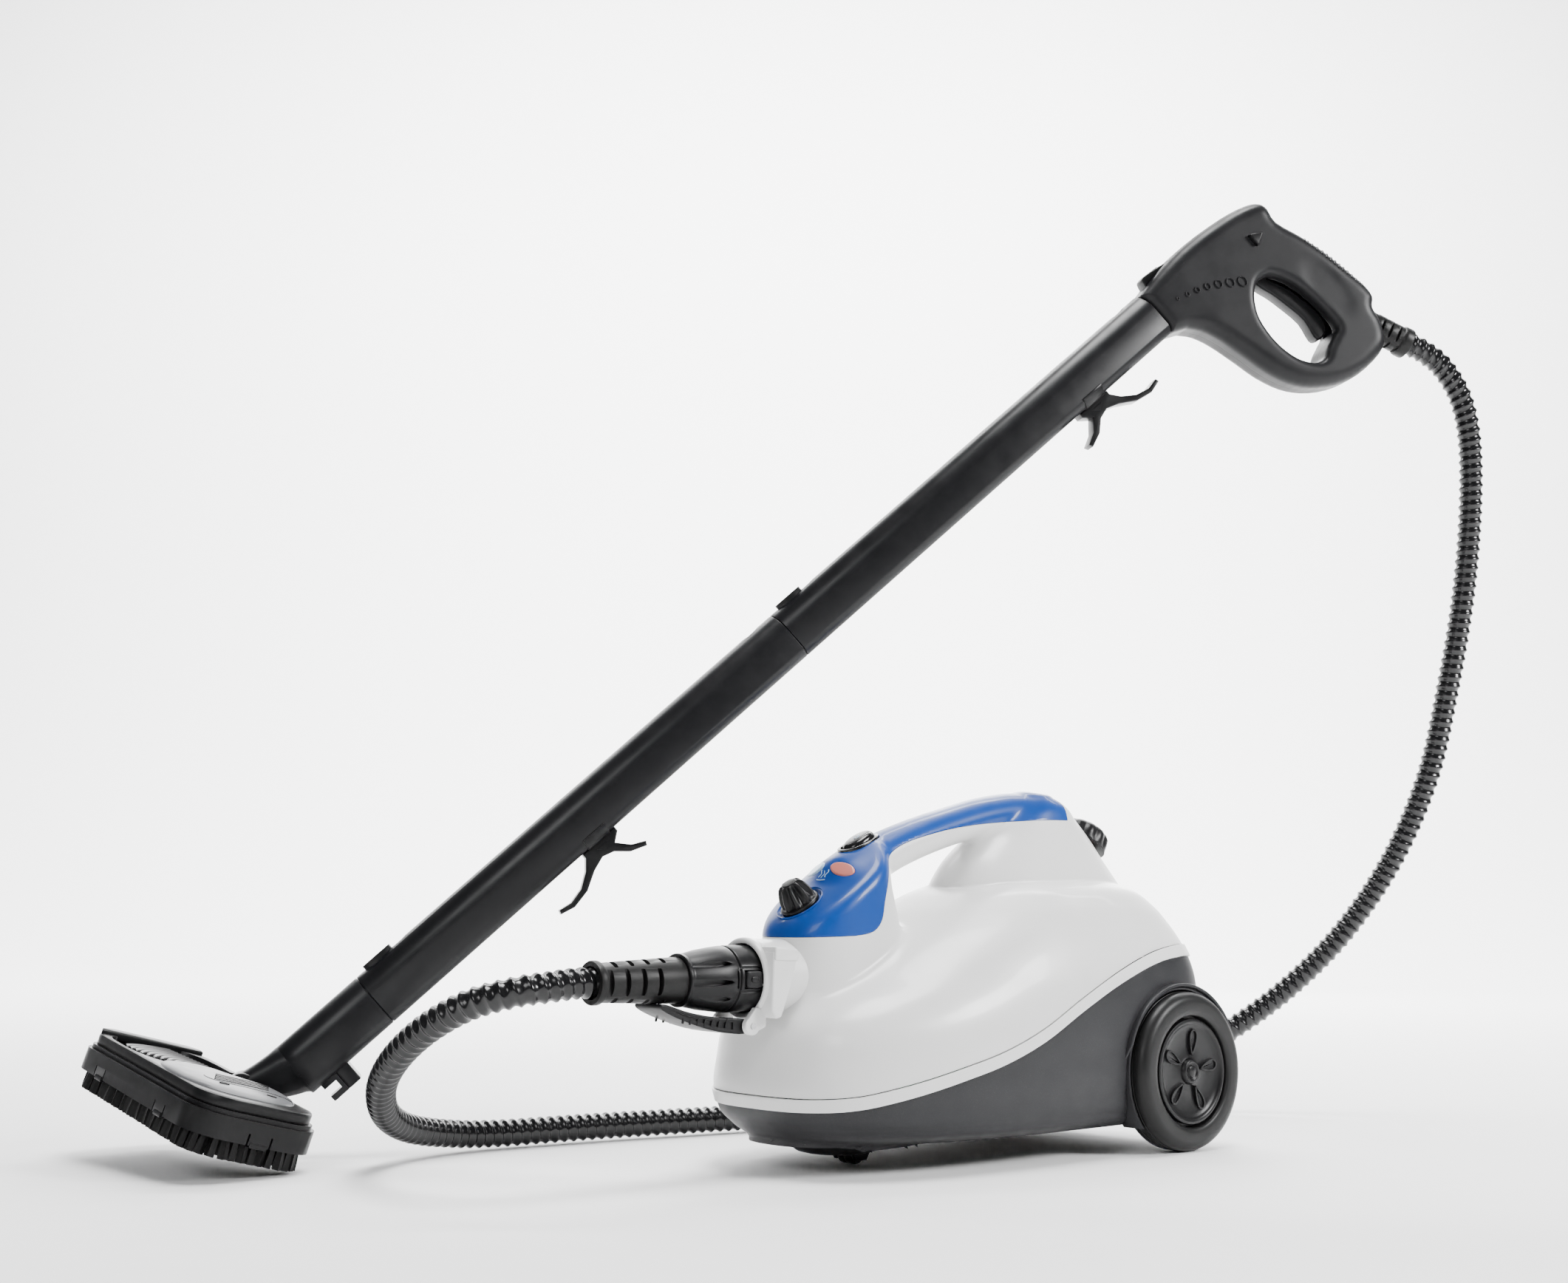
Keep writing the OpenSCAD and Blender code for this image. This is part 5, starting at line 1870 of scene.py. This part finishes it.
    def latch(self) -> None:
        """Ridged latch on the gun's nose."""
        points = smooth_line(
            [(13, 20), (13.4, 28), (17, 31.6), (30, 30.6), (43, 28.4), (44, 25), (34, 20.4), (20, 18)], 4,
            closed=True,
        )
        latch = slab("gun_latch_key", points.tolist(), -7.6, 7.6, 1.6, 3)
        ribs = [
            shifted(
                slab("rib", oval(0.6, 6, 4, 16), -0.5, 0.7, 0.3, 1),
                move(18 + 2.6 * k, 31.2 - 0.16 * k, 0) @ turn("X", -90),
            )
            for k in range(7)
        ]
        settle(joined("gun_latch_key", latch, *ribs), Skin.BLACK, "gun_button", ["gun_latch"], GUN, 50)

    def tail(self) -> None:
        """Slotted kink sleeve where the hose enters."""
        profile = [
            (8.1, 0), (12.2, 0), (12.4, 0.6), (12.0, 12), (12.6, 14), (12.6, 40), (13.9, 41.6),
            (14.0, 43),
        ]
        profile += [(14.0, 48.6), (13.5, 49.8), (12.2, 50), (12.1, 43.4), (8.1, 43)]
        sleeve = turned("gun_sleeve", profile, 64)
        cuts = []
        for i in range(3):
            for facing in (0, 90, 180, 270):
                z = 18 + 8.4 * i + (4.2 if facing in (90, 270) else 0)
                cuts.append(
                    shifted(
                        slab("gap", oval(1.3, 8, 6, 24), 9.6, 20),
                        move(0, 0, z) @ turn("Z", facing) @ turn("Y", 90),
                    )
                )
        cut(sleeve, *cuts)
        bevelled(sleeve, 0.3, 2, 50)
        place = GUN @ move(158, -128, 0) @ turn("Z", -66) @ turn("Y", 90)
        settle(sleeve, Skin.RUBBER, stands_for=["gun_relief"], place=place, angle=36)


# ---------------------------------------------------------------- wand


@dataclass
class Wand:
    """Two profiled tubes with latches and windows, hose hooks and the lower elbow."""

    half: float = 19.0
    wall: float = 2.2

    def profile(self, inset: float = 0.0) -> list[Point]:
        """Tube section: round top, flat sides and a narrower flat bottom."""
        w = self.half - inset
        points = arc(w, 0, 181, 9, 0, 4)
        points += [(-w, -14.2), (-w + 0.8, -16.4), (-12.8, -21.4 + inset), (-11.4, -22 + inset)]
        points += [(11.4, -22 + inset), (12.8, -21.4 + inset), (w - 0.8, -16.4), (w, -14.2)]
        return points

    def bar(self, name: str, stations: Sequence[tuple[float, float]], inset: float = 0.0) -> Obj:
        """Tube section skinned along the wand.

        Args:
            name: the object's name.
            stations: rows of place along the wand and shrink there.
            inset: how much narrower the whole section is.

        Returns:
            The closed solid.
        """
        rings = []
        for x, shrink in stations:
            rings.append(np.array([(x, y, z) for y, z in self.profile(inset + shrink)]))
        return skinned(name, rings)

    def build(self) -> None:
        """Make the tubes, buttons, hooks and the elbow."""
        for name, node, x0 in (("tube_low", "wand_tube_lower", 0.0), ("tube_high", "wand_tube_upper", TUBE)):
            self.tube(name, node, x0)
        for name, node, body, x0 in (
            (
                "latch_mid", "latch_button_mid", "mid_button", TUBE,
            ), ("latch_low", "latch_button_low", "low_button", 0.0),
        ):
            self.button(name, node, body, x0)
        self.hooks()
        self.elbow()

    def tube(self, name: str, node: str, x0: float) -> None:
        """One tube with its windows and the cut-out of its latch."""
        a, b = x0 + 0.25, x0 + TUBE - 0.25
        tube = self.bar(
            name, [(a, 0.7), (a + 0.35, 0.18), (a + 1.0, 0), (b - 1.0, 0), (b - 0.35, 0.18), (b, 0.7)],
        )
        cut(tube, self.bar("bore", [(a - 5, 0), (b + 5, 0)], self.wall))
        latch = slab("latch_seat", oval(14.2, 7.9, 2, 40, x0 + 22.4, 0), 13, 40)
        key = slab("key_seat", oval(7.5, 4.4, 2.6, 32, x0 + 41.5, 0), 17.5, 40)
        window = oval(8.5, 5.2, 2.2, 32, x0 + TUBE - 22, 0)
        groove = slab("window", window, 20.6, 40)
        cut(tube, latch, key, groove)
        bevelled(tube, 0.35, 2, 50)
        plate = slab("plate", oval(6.8, 4.0, 2.2, 32, x0 + TUBE - 21.4, 0), 18.5, 21.9, 0.5, 2)
        tongue = slab("tongue", oval(3.4, 3.2, 2.4, 24, x0 + 38.6, 0), 17, 21.2, 0.5, 2)
        settle(joined(name, tube, plate, tongue), Skin.TUBE, stands_for=[node], place=WAND, angle=30)

    def button(self, name: str, node: str, body: str, x0: float) -> None:
        """Oval latch button that stands out of its tube."""
        button = slab(name, oval(13.3, 7.0, 2, 56, x0 + 22.4, 0), 16.6, 26.2)
        sunk_top(button, 1.2, 0.4)
        bevelled(button, 0.5, 3, 40)
        settle(button, Skin.BLACK, body, [node], WAND, 40)

    def hooks(self) -> None:
        """Two clip-on hose hooks with a long and a short arm."""
        arms = [
            (-17, 0), (17, 0), (17, -4), (24, -12), (36, -20), (49, -23), (60, -21), (61, -24.5),
            (49, -27.5), (33, -24.5),
        ]
        arms += [
            (18, -16), (6, -12), (-4, -15), (-14, -24), (-27, -29), (-29, -25.5), (-18, -20), (-9, -10),
            (-17, -4),
        ]
        parts = []
        for x, s in ((2 * TUBE - 98, 1), (212, -1)):
            points = [(s * u, v) for u, v in arms]
            hook = slab("hook", points, -8, 8, 1.5, 3)
            parts.append(shifted(hook, move(x, 0, -22.3) @ turn("X", 90)))
            mark = slab("mark", [(s * -6, -4.5), (s * 6, -4.5), (0, -9.5)], 8.0, 8.5, 0.2, 1)
            parts.append(shifted(mark, move(x, 0, -22.3) @ turn("X", 90)))
            strap = self.bar("strap", [(x - 11, -0.9), (x - 10.6, -1.2), (x + 10.6, -1.2), (x + 11, -0.9)])
            cut(strap, self.bar("inside", [(x - 20, -0.1), (x + 20, -0.1)]))
            cut(strap, box("top", (x - 20, x + 20), (-30, 30), (-14, 60)))
            parts.append(strap)
        settle(joined("hose_hooks", *parts), Skin.BLACK, stands_for=["wand_hooks"], place=WAND, angle=40)

    def elbow(self) -> None:
        """Lower elbow that narrows to the brush's hinge, with the parking hook below."""
        arm = self.bar("elbow_arm", [(-80, 0.6), (-79, 0.1), (-70, 0), (-1.2, 0), (-0.5, 0.2), (-0.2, 0.7)])
        section = np.array(self.profile())
        rings = [np.array([(-78.0, y, z) for y, z in section])]
        for f in np.linspace(0.12, 1, 9):
            x = -78 - 40 * f
            width = self.half + (14.5 - self.half) * f**0.8
            top, low = 23 + 6.0 * f**2 * 0.9, -22 + 25 * f**1.25
            mid, tall = (top + low) / 2, (top - low) / 2
            power = 2 / (2.6 + 0.8 * f)
            ring = []
            for y, z in section:
                a = math.atan2((z - 0.5) / 22.5, y / self.half)
                c, s = math.cos(a), math.sin(a)
                ring.append(
                    (
                        x, width * math.copysign(abs(c) ** power, c),
                        mid + tall * math.copysign(abs(s) ** power, s),
                    )
                )
            rings.append(np.array(ring))
        neck = skinned("neck", rings)
        knuckle = shifted(
            slab("knuckle", oval(13.2, 13.2, 2, 56), -14.6, 14.6, 1.2, 3),
            move(-118, 0, 16) @ turn("X", 90),
        )
        block = bevelled(box("park", (-72, -46), (-12, 12), (-38, -20)), 1.2, 3, 50)
        cut(block, box("park_slot", (-76, -61), (-16, 16), (-33, -26)))
        cut(block, box("park_gap", (-58, -56), (-16, -8), (-40, -22)))
        rib = box("rib", (-60, -57.6), (-12.6, 12.6), (-37, -22), 0.3, 1)
        settle(
            joined("elbow_arm", arm, neck, knuckle, block, rib), Skin.TUBE, stands_for=["elbow"],
            place=WAND, angle=36,
        )


# ---------------------------------------------------------------- brush


@dataclass
class FloorBrush:
    """Floor brush: yoke, skirted housing, top plate with black strokes painted as groove shade, curved fins
    and tufts.
    """

    depth: float = 104.0
    width: float = 240.0
    skirt: float = 20.0
    bristle: float = 14.0
    back: float = 36.0
    dome: tuple[Point, ...] = (
        (0.4, 1.0), (6, 1.01), (9.4, 0.995), (11.0, 0.96), (12.2, 0.87), (13.0, 0.67), (13.3, 0.31),
    )

    def plan(self, inset: float, corner: float = 31.0, count: int = 10) -> list[Point]:
        """Rounded rectangle of the head, drawn in by an inset."""
        a, b = self.depth / 2 - inset, self.width / 2 - inset
        r = max(corner - inset, 3)
        points = []
        for sx, sy, start in ((1, 1, 0), (-1, 1, 90), (-1, -1, 180), (1, -1, 270)):
            for k in range(count + 1):
                t = math.radians(start + 90 * k / count)
                points.append((sx * (a - r) + r * math.cos(t), sy * (b - r) + r * math.sin(t)))
        return points

    def build(self) -> None:
        """Make every part of the head."""
        self.yoke()
        self.housing()
        self.plate()
        self.tufts()

    def yoke(self) -> None:
        """Turning seat with two rounded cheeks and the hinge pin."""
        seat = turned(
            "yoke_seat", [(0, -18.2), (23.8, -18.2), (25, -17.4), (25, -15.4), (24, -14.4), (0, -14.4)],
            72,
        )
        parts = [seat]
        for s in (-1, 1):
            side = [(-11, -15.5), (11, -15.5), (10, -2)]
            side += arc(10, 0, 181, 15)
            side += [(-10, -2)]
            cheek = slab("cheek", side, -2.1, 2.1, 0.9, 3)
            parts.append(shifted(cheek, move(0, s * 19.4, 0) @ turn("X", 90)))
        pin = turned("pin", [(0, -22.4), (2.4, -22.4), (3, -21.8), (3, 21.8), (2.4, 22.4), (0, 22.4)], 32)
        parts.append(shifted(pin, turn("X", 90)))
        settle(joined("yoke_seat", *parts), Skin.BLACK, "yoke", ["brush_yoke"], HINGE, 40)

    def housing(self) -> None:
        """Stepped tub with snap slots, tabs and a round seat for the yoke."""
        tub = slab("brush_tub", self.plan(0), -self.skirt, -3.2)
        shelf = slab("shelf", self.plan(2.6), -8, 0.2)
        cut(tub, shelf, operation="UNION")
        cut(tub, slab("rim", oval(31, 31, 2, 72, self.back, 0), -self.skirt, 0.3), operation="UNION")
        cut(tub, slab("hollow", self.plan(2.6), -self.skirt - 1, -4.6))
        seat = slab("seat", oval(25.5, 25.5, 2, 72, self.back, 0), -self.skirt + 3.6, 30)
        cut(tub, seat)
        fan = [(self.back, 0)] + arc(60, -80, 81, 10, self.back)
        cut(tub, slab("fan", fan, -12.4, 30))
        under = turned(
            "under",
            [
                (0, -self.skirt + 0.4), (28, -self.skirt + 0.4), (28.2, -self.skirt + 3.4),
                (0, -self.skirt + 3.4),
            ],
            64,
        )
        shifted(under, move(self.back, 0, 0))
        slots = []
        for s in (-1, 1):
            for off in (-9, 9):
                slots.append(box("slot", (-60, -48), (s * 58 + off, s * 58 + off + 1.6), (-40, -12)))
            for x in (-10, 8):
                slots.append(box("slot", (x, x + 1.6), (-130, -114) if s < 0 else (114, 130), (-40, -12)))
        cut(tub, *slots)
        bevelled(tub, 0.6, 2, 50)
        tabs = []
        foot = (-self.skirt - 1.6, -self.skirt + 2)
        for s in (-1, 1):
            tabs.append(box("tab", (-52.6, -47), (s * 58 - 6, s * 58 + 6), foot, 0.5, 2))
            tabs.append(box("tab", (-7, 6.4), (s * 117 - 3.4, s * 117 + 3.4), foot, 0.5, 2))
        whole = joined("brush_tub", tub, under, *tabs)
        settle(whole, Skin.BLACK, "brush", ["brush_housing"], BRUSH, 36)

    def stroke(self, points: Sequence[Point], radius: float) -> Obj:
        """Thin stroke that lies on the dome.

        Args:
            points: corners of its path as x, y.
            radius: half its width.

        Returns:
            The closed solid.
        """
        scale = [f for _, f in reversed(self.dome)]
        height = [z for z, _ in reversed(self.dome)]
        path = []
        for x, y in smooth_line(points, 8):
            f = ((abs(x + 1) / 45) ** 2.5 + (abs(y + 46) / 57) ** 2.5) ** 0.4
            path.append((x, y, np.interp(f, scale, height) - 0.15))
        return along("stroke", np.array(path), radius, 8)

    def plate(self) -> None:
        """Domed second layer with gloss black strokes that paint the shade of its grooves, swoosh lines, leaf
        marks and curved fins.
        """
        grid = []
        for z, inset in ((0.3, 5.2), (6.6, 5.0), (8.0, 5.6), (8.7, 6.8), (8.9, 10)):
            grid.append(np.array([(x, y, z) for x, y in self.plan(inset)]))
        deck = skinned("deck", grid)
        fan = turned("fan", [(0, -2), (30, -2), (30, 40), (0, 40)], 72)
        shifted(fan, move(self.back, 0, 0))
        well = slab("well", oval(41, 50, 3.2, 48, -3, 53), 3.2, 20)
        cut(deck, well)
        bevelled(deck, 0.5, 2, 55)
        fins = []
        for k in range(11):
            r = 34 + 5.2 * k
            curve = [(26 - r * math.cos(a), 2 + r * math.sin(a), 7.4) for a in np.radians(range(14, 84, 5))]
            curve = [q for q in curve if -42 < q[0] < 34 and 10 < q[1] < 97]
            if len(curve) > 3:
                fins.append(along("fin", smooth_line(curve, 3), 1.35, 8, 1.6))
        wall = [(-45, 98), (43, 98), (43, 108), (34, 113), (-30, 113), (-45, 102)]
        ledge = slab("wall", wall, 5, 12.5, 2, 4)
        cut(ledge, slab("trim", self.plan(5.6), -1, 40), operation="INTERSECT")
        fins.append(ledge)
        cover = skinned(
            "cover",
            [np.array([(x, y, z) for x, y in oval(45 * f, 57 * f, 2.5, 72, -1, -46)]) for z, f in self.dome],
        )
        cut(cover, slab("trim", self.plan(4.2), -1, 40), operation="INTERSECT")
        bevelled(cover, 0.5, 2, 50)

        # The four wide gloss black strokes are painted shade: they stand in for the dark inside the plate's
        # grooves. The swoosh line and the two leaf marks are marks on the plate.
        marks = [
            self.stroke(
                [(-22 + 4 * k, -66 + 8 * k), (0 + 4 * k, -66 + 8 * k), (22 + 4 * k, -66 + 8 * k)], 1.15,
            )
            for k in range(4)
        ]
        marks.append(self.stroke([(-27, -58), (-26, -69), (-14, -74), (6, -76), (24, -81), (36, -88)], 0.6))
        for x, y in ((-20, -80), (14, -90)):
            marks.append(self.stroke([(x - 4, y + 1), (x, y), (x + 3, y - 1)], 1.1))
        for part in (deck, cover):
            cut(part, copied(fan, "fan_cut"))
        bpy.data.objects.remove(fan)
        settle(joined("brush_deck", deck), Skin.BLACK, "brush", ["brush_cover"], BRUSH, 36)
        settle(joined("brush_fins", *fins), Skin.BLACK, "brush", (), BRUSH, 50)
        settle(cover, Skin.PLATE, "brush", (), BRUSH, 36)
        # These strokes are the painted groove shade together with the swoosh line and leaf marks.
        settle(joined("brush_marks", *marks), Skin.GLOSS_BLACK, "brush", (), BRUSH, 50)

    def tufts(self) -> None:
        """Rows of tufts, each a small splayed bundle."""
        rings = []
        for z, grow in ((0, 1.28), (-4, 1.12), (-self.bristle * 0.6, 1.0), (-self.bristle, 0.98)):
            a = np.linspace(0, FULL, 10, endpoint=False)
            r = (2.5 + 0.5 * np.cos(5 * a)) * (2.28 - grow)
            rings.append(np.stack([r * np.cos(a), r * np.sin(a), np.full(10, float(z))], axis=1))
        tuft = skinned("tuft", rings)
        spots = []
        outer = np.array(self.plan(8.5) + [self.plan(8.5)[0]])
        gone = np.concatenate([[0], np.cumsum(np.linalg.norm(np.diff(outer, axis=0), axis=1))])
        for s in np.arange(0, gone[-1] - 4, 7.4):
            spots.append((np.interp(s, gone, outer[:, 0]), np.interp(s, gone, outer[:, 1])))
        for x in (-30, -18, -6, 6, 18, 30):
            spots += [(x, y) for y in np.arange(-98, 99, 9.2)]
        made = []
        for k, (x, y) in enumerate(spots):
            lean = turn("X", 4 * math.sin(k * 12.9)) @ turn("Y", 4 * math.cos(k * 7.7))
            made.append(copied(tuft, f"tuft_{k}", move(x, y, -self.skirt + 0.2) @ turn("Z", 37 * k) @ lean))
        bpy.data.objects.remove(tuft)
        carrier = slab("carrier", self.plan(4.5), -self.skirt + 0.2, -5)
        settle(joined("tufts", carrier, *made), Skin.BRISTLE, "brush", ["bristles"], BRUSH, 50)


# ---------------------------------------------------------------- CAD nodes kept


@dataclass
class KeptParts:
    """CAD parts whose own shape is shown, each with its finish."""

    skins: dict[Skin, tuple[str, ...]] = field(
        default_factory=lambda: {
            Skin.WHITE: ("upper_shell", "socket_collar"),
            Skin.GRAPHITE: ("base_tub", "axle_brackets"),
            Skin.BLUE: ("control_cover",),
            Skin.BRASS: ("steam_socket", "regulator_valve", "solenoid_valve"),
            Skin.BLACK: (
                "knob_bezel", "steam_knob", "switch_frame", "rocker_switch", "boiler_cap", "hubcap_left",
                "hubcap_right", "caster_dome", "caster_roller", "socket_flap", "connector_body",
                "connector_button", "gun_trigger", "gun_lock", "gun_latch", "latch_button_mid",
                "latch_button_low", "wand_hooks",
                "brush_yoke", "brush_housing",
            ),
            Skin.RUBBER: ("mains_gland", "connector_relief", "gun_relief"),
            Skin.RED_LENS: ("lamp_left",),
            Skin.CLEAR_LENS: ("lamp_right",),
            Skin.SEAL: ("cap_gasket",),
            Skin.STEEL: (
                "filler_neck", "boiler_bolts", "thermostat", "pressure_switch", "rear_axle", "axle_clips",
                "caster_pin", "flap_pin",
            ),
            Skin.BOILER: ("boiler_lower", "boiler_upper"),
            Skin.COPPER: ("heating_element", "steam_pipes"),
            Skin.BOARD: ("circuit_board",),
            Skin.IVORY: ("terminal_block", "gun_switch"),
            Skin.TYRE: ("wheel_left", "wheel_right"),
            Skin.HOSE: ("steam_hose",),
            Skin.GUN: ("gun_shell_left", "gun_shell_right"),
            Skin.TUBE: ("wand_tube_upper", "wand_tube_lower", "wand_spigots", "elbow"),
            Skin.PLATE: ("brush_cover",),
            Skin.BRISTLE: ("bristles",),
        }
    )

    def build(self) -> None:
        """Dress every CAD node."""
        for skin, names in self.skins.items():
            for name in names:
                skin.dress(frame["nodes"][name])


def main() -> None:
    """Build each class in order, and report every piece that it adds."""
    logging.basicConfig(level=logging.INFO, format="%(name)s %(message)s")
    makers = (
        Studio(), SteamHose(), KeptParts(), BodyShells(), Controls(), FillerCap(), SocketAndPlug(),
        RunningGear(), SteamGun(), Wand(), FloorBrush(),
    )
    for maker in makers:
        known = set(bpy.data.objects.keys())
        maker.build()
        LOG.info("built %s", type(maker).__name__)
        for name in sorted(set(bpy.data.objects.keys()) - known):
            LOG.info("  piece %s", name)


if __name__ == "__main__":
    main()
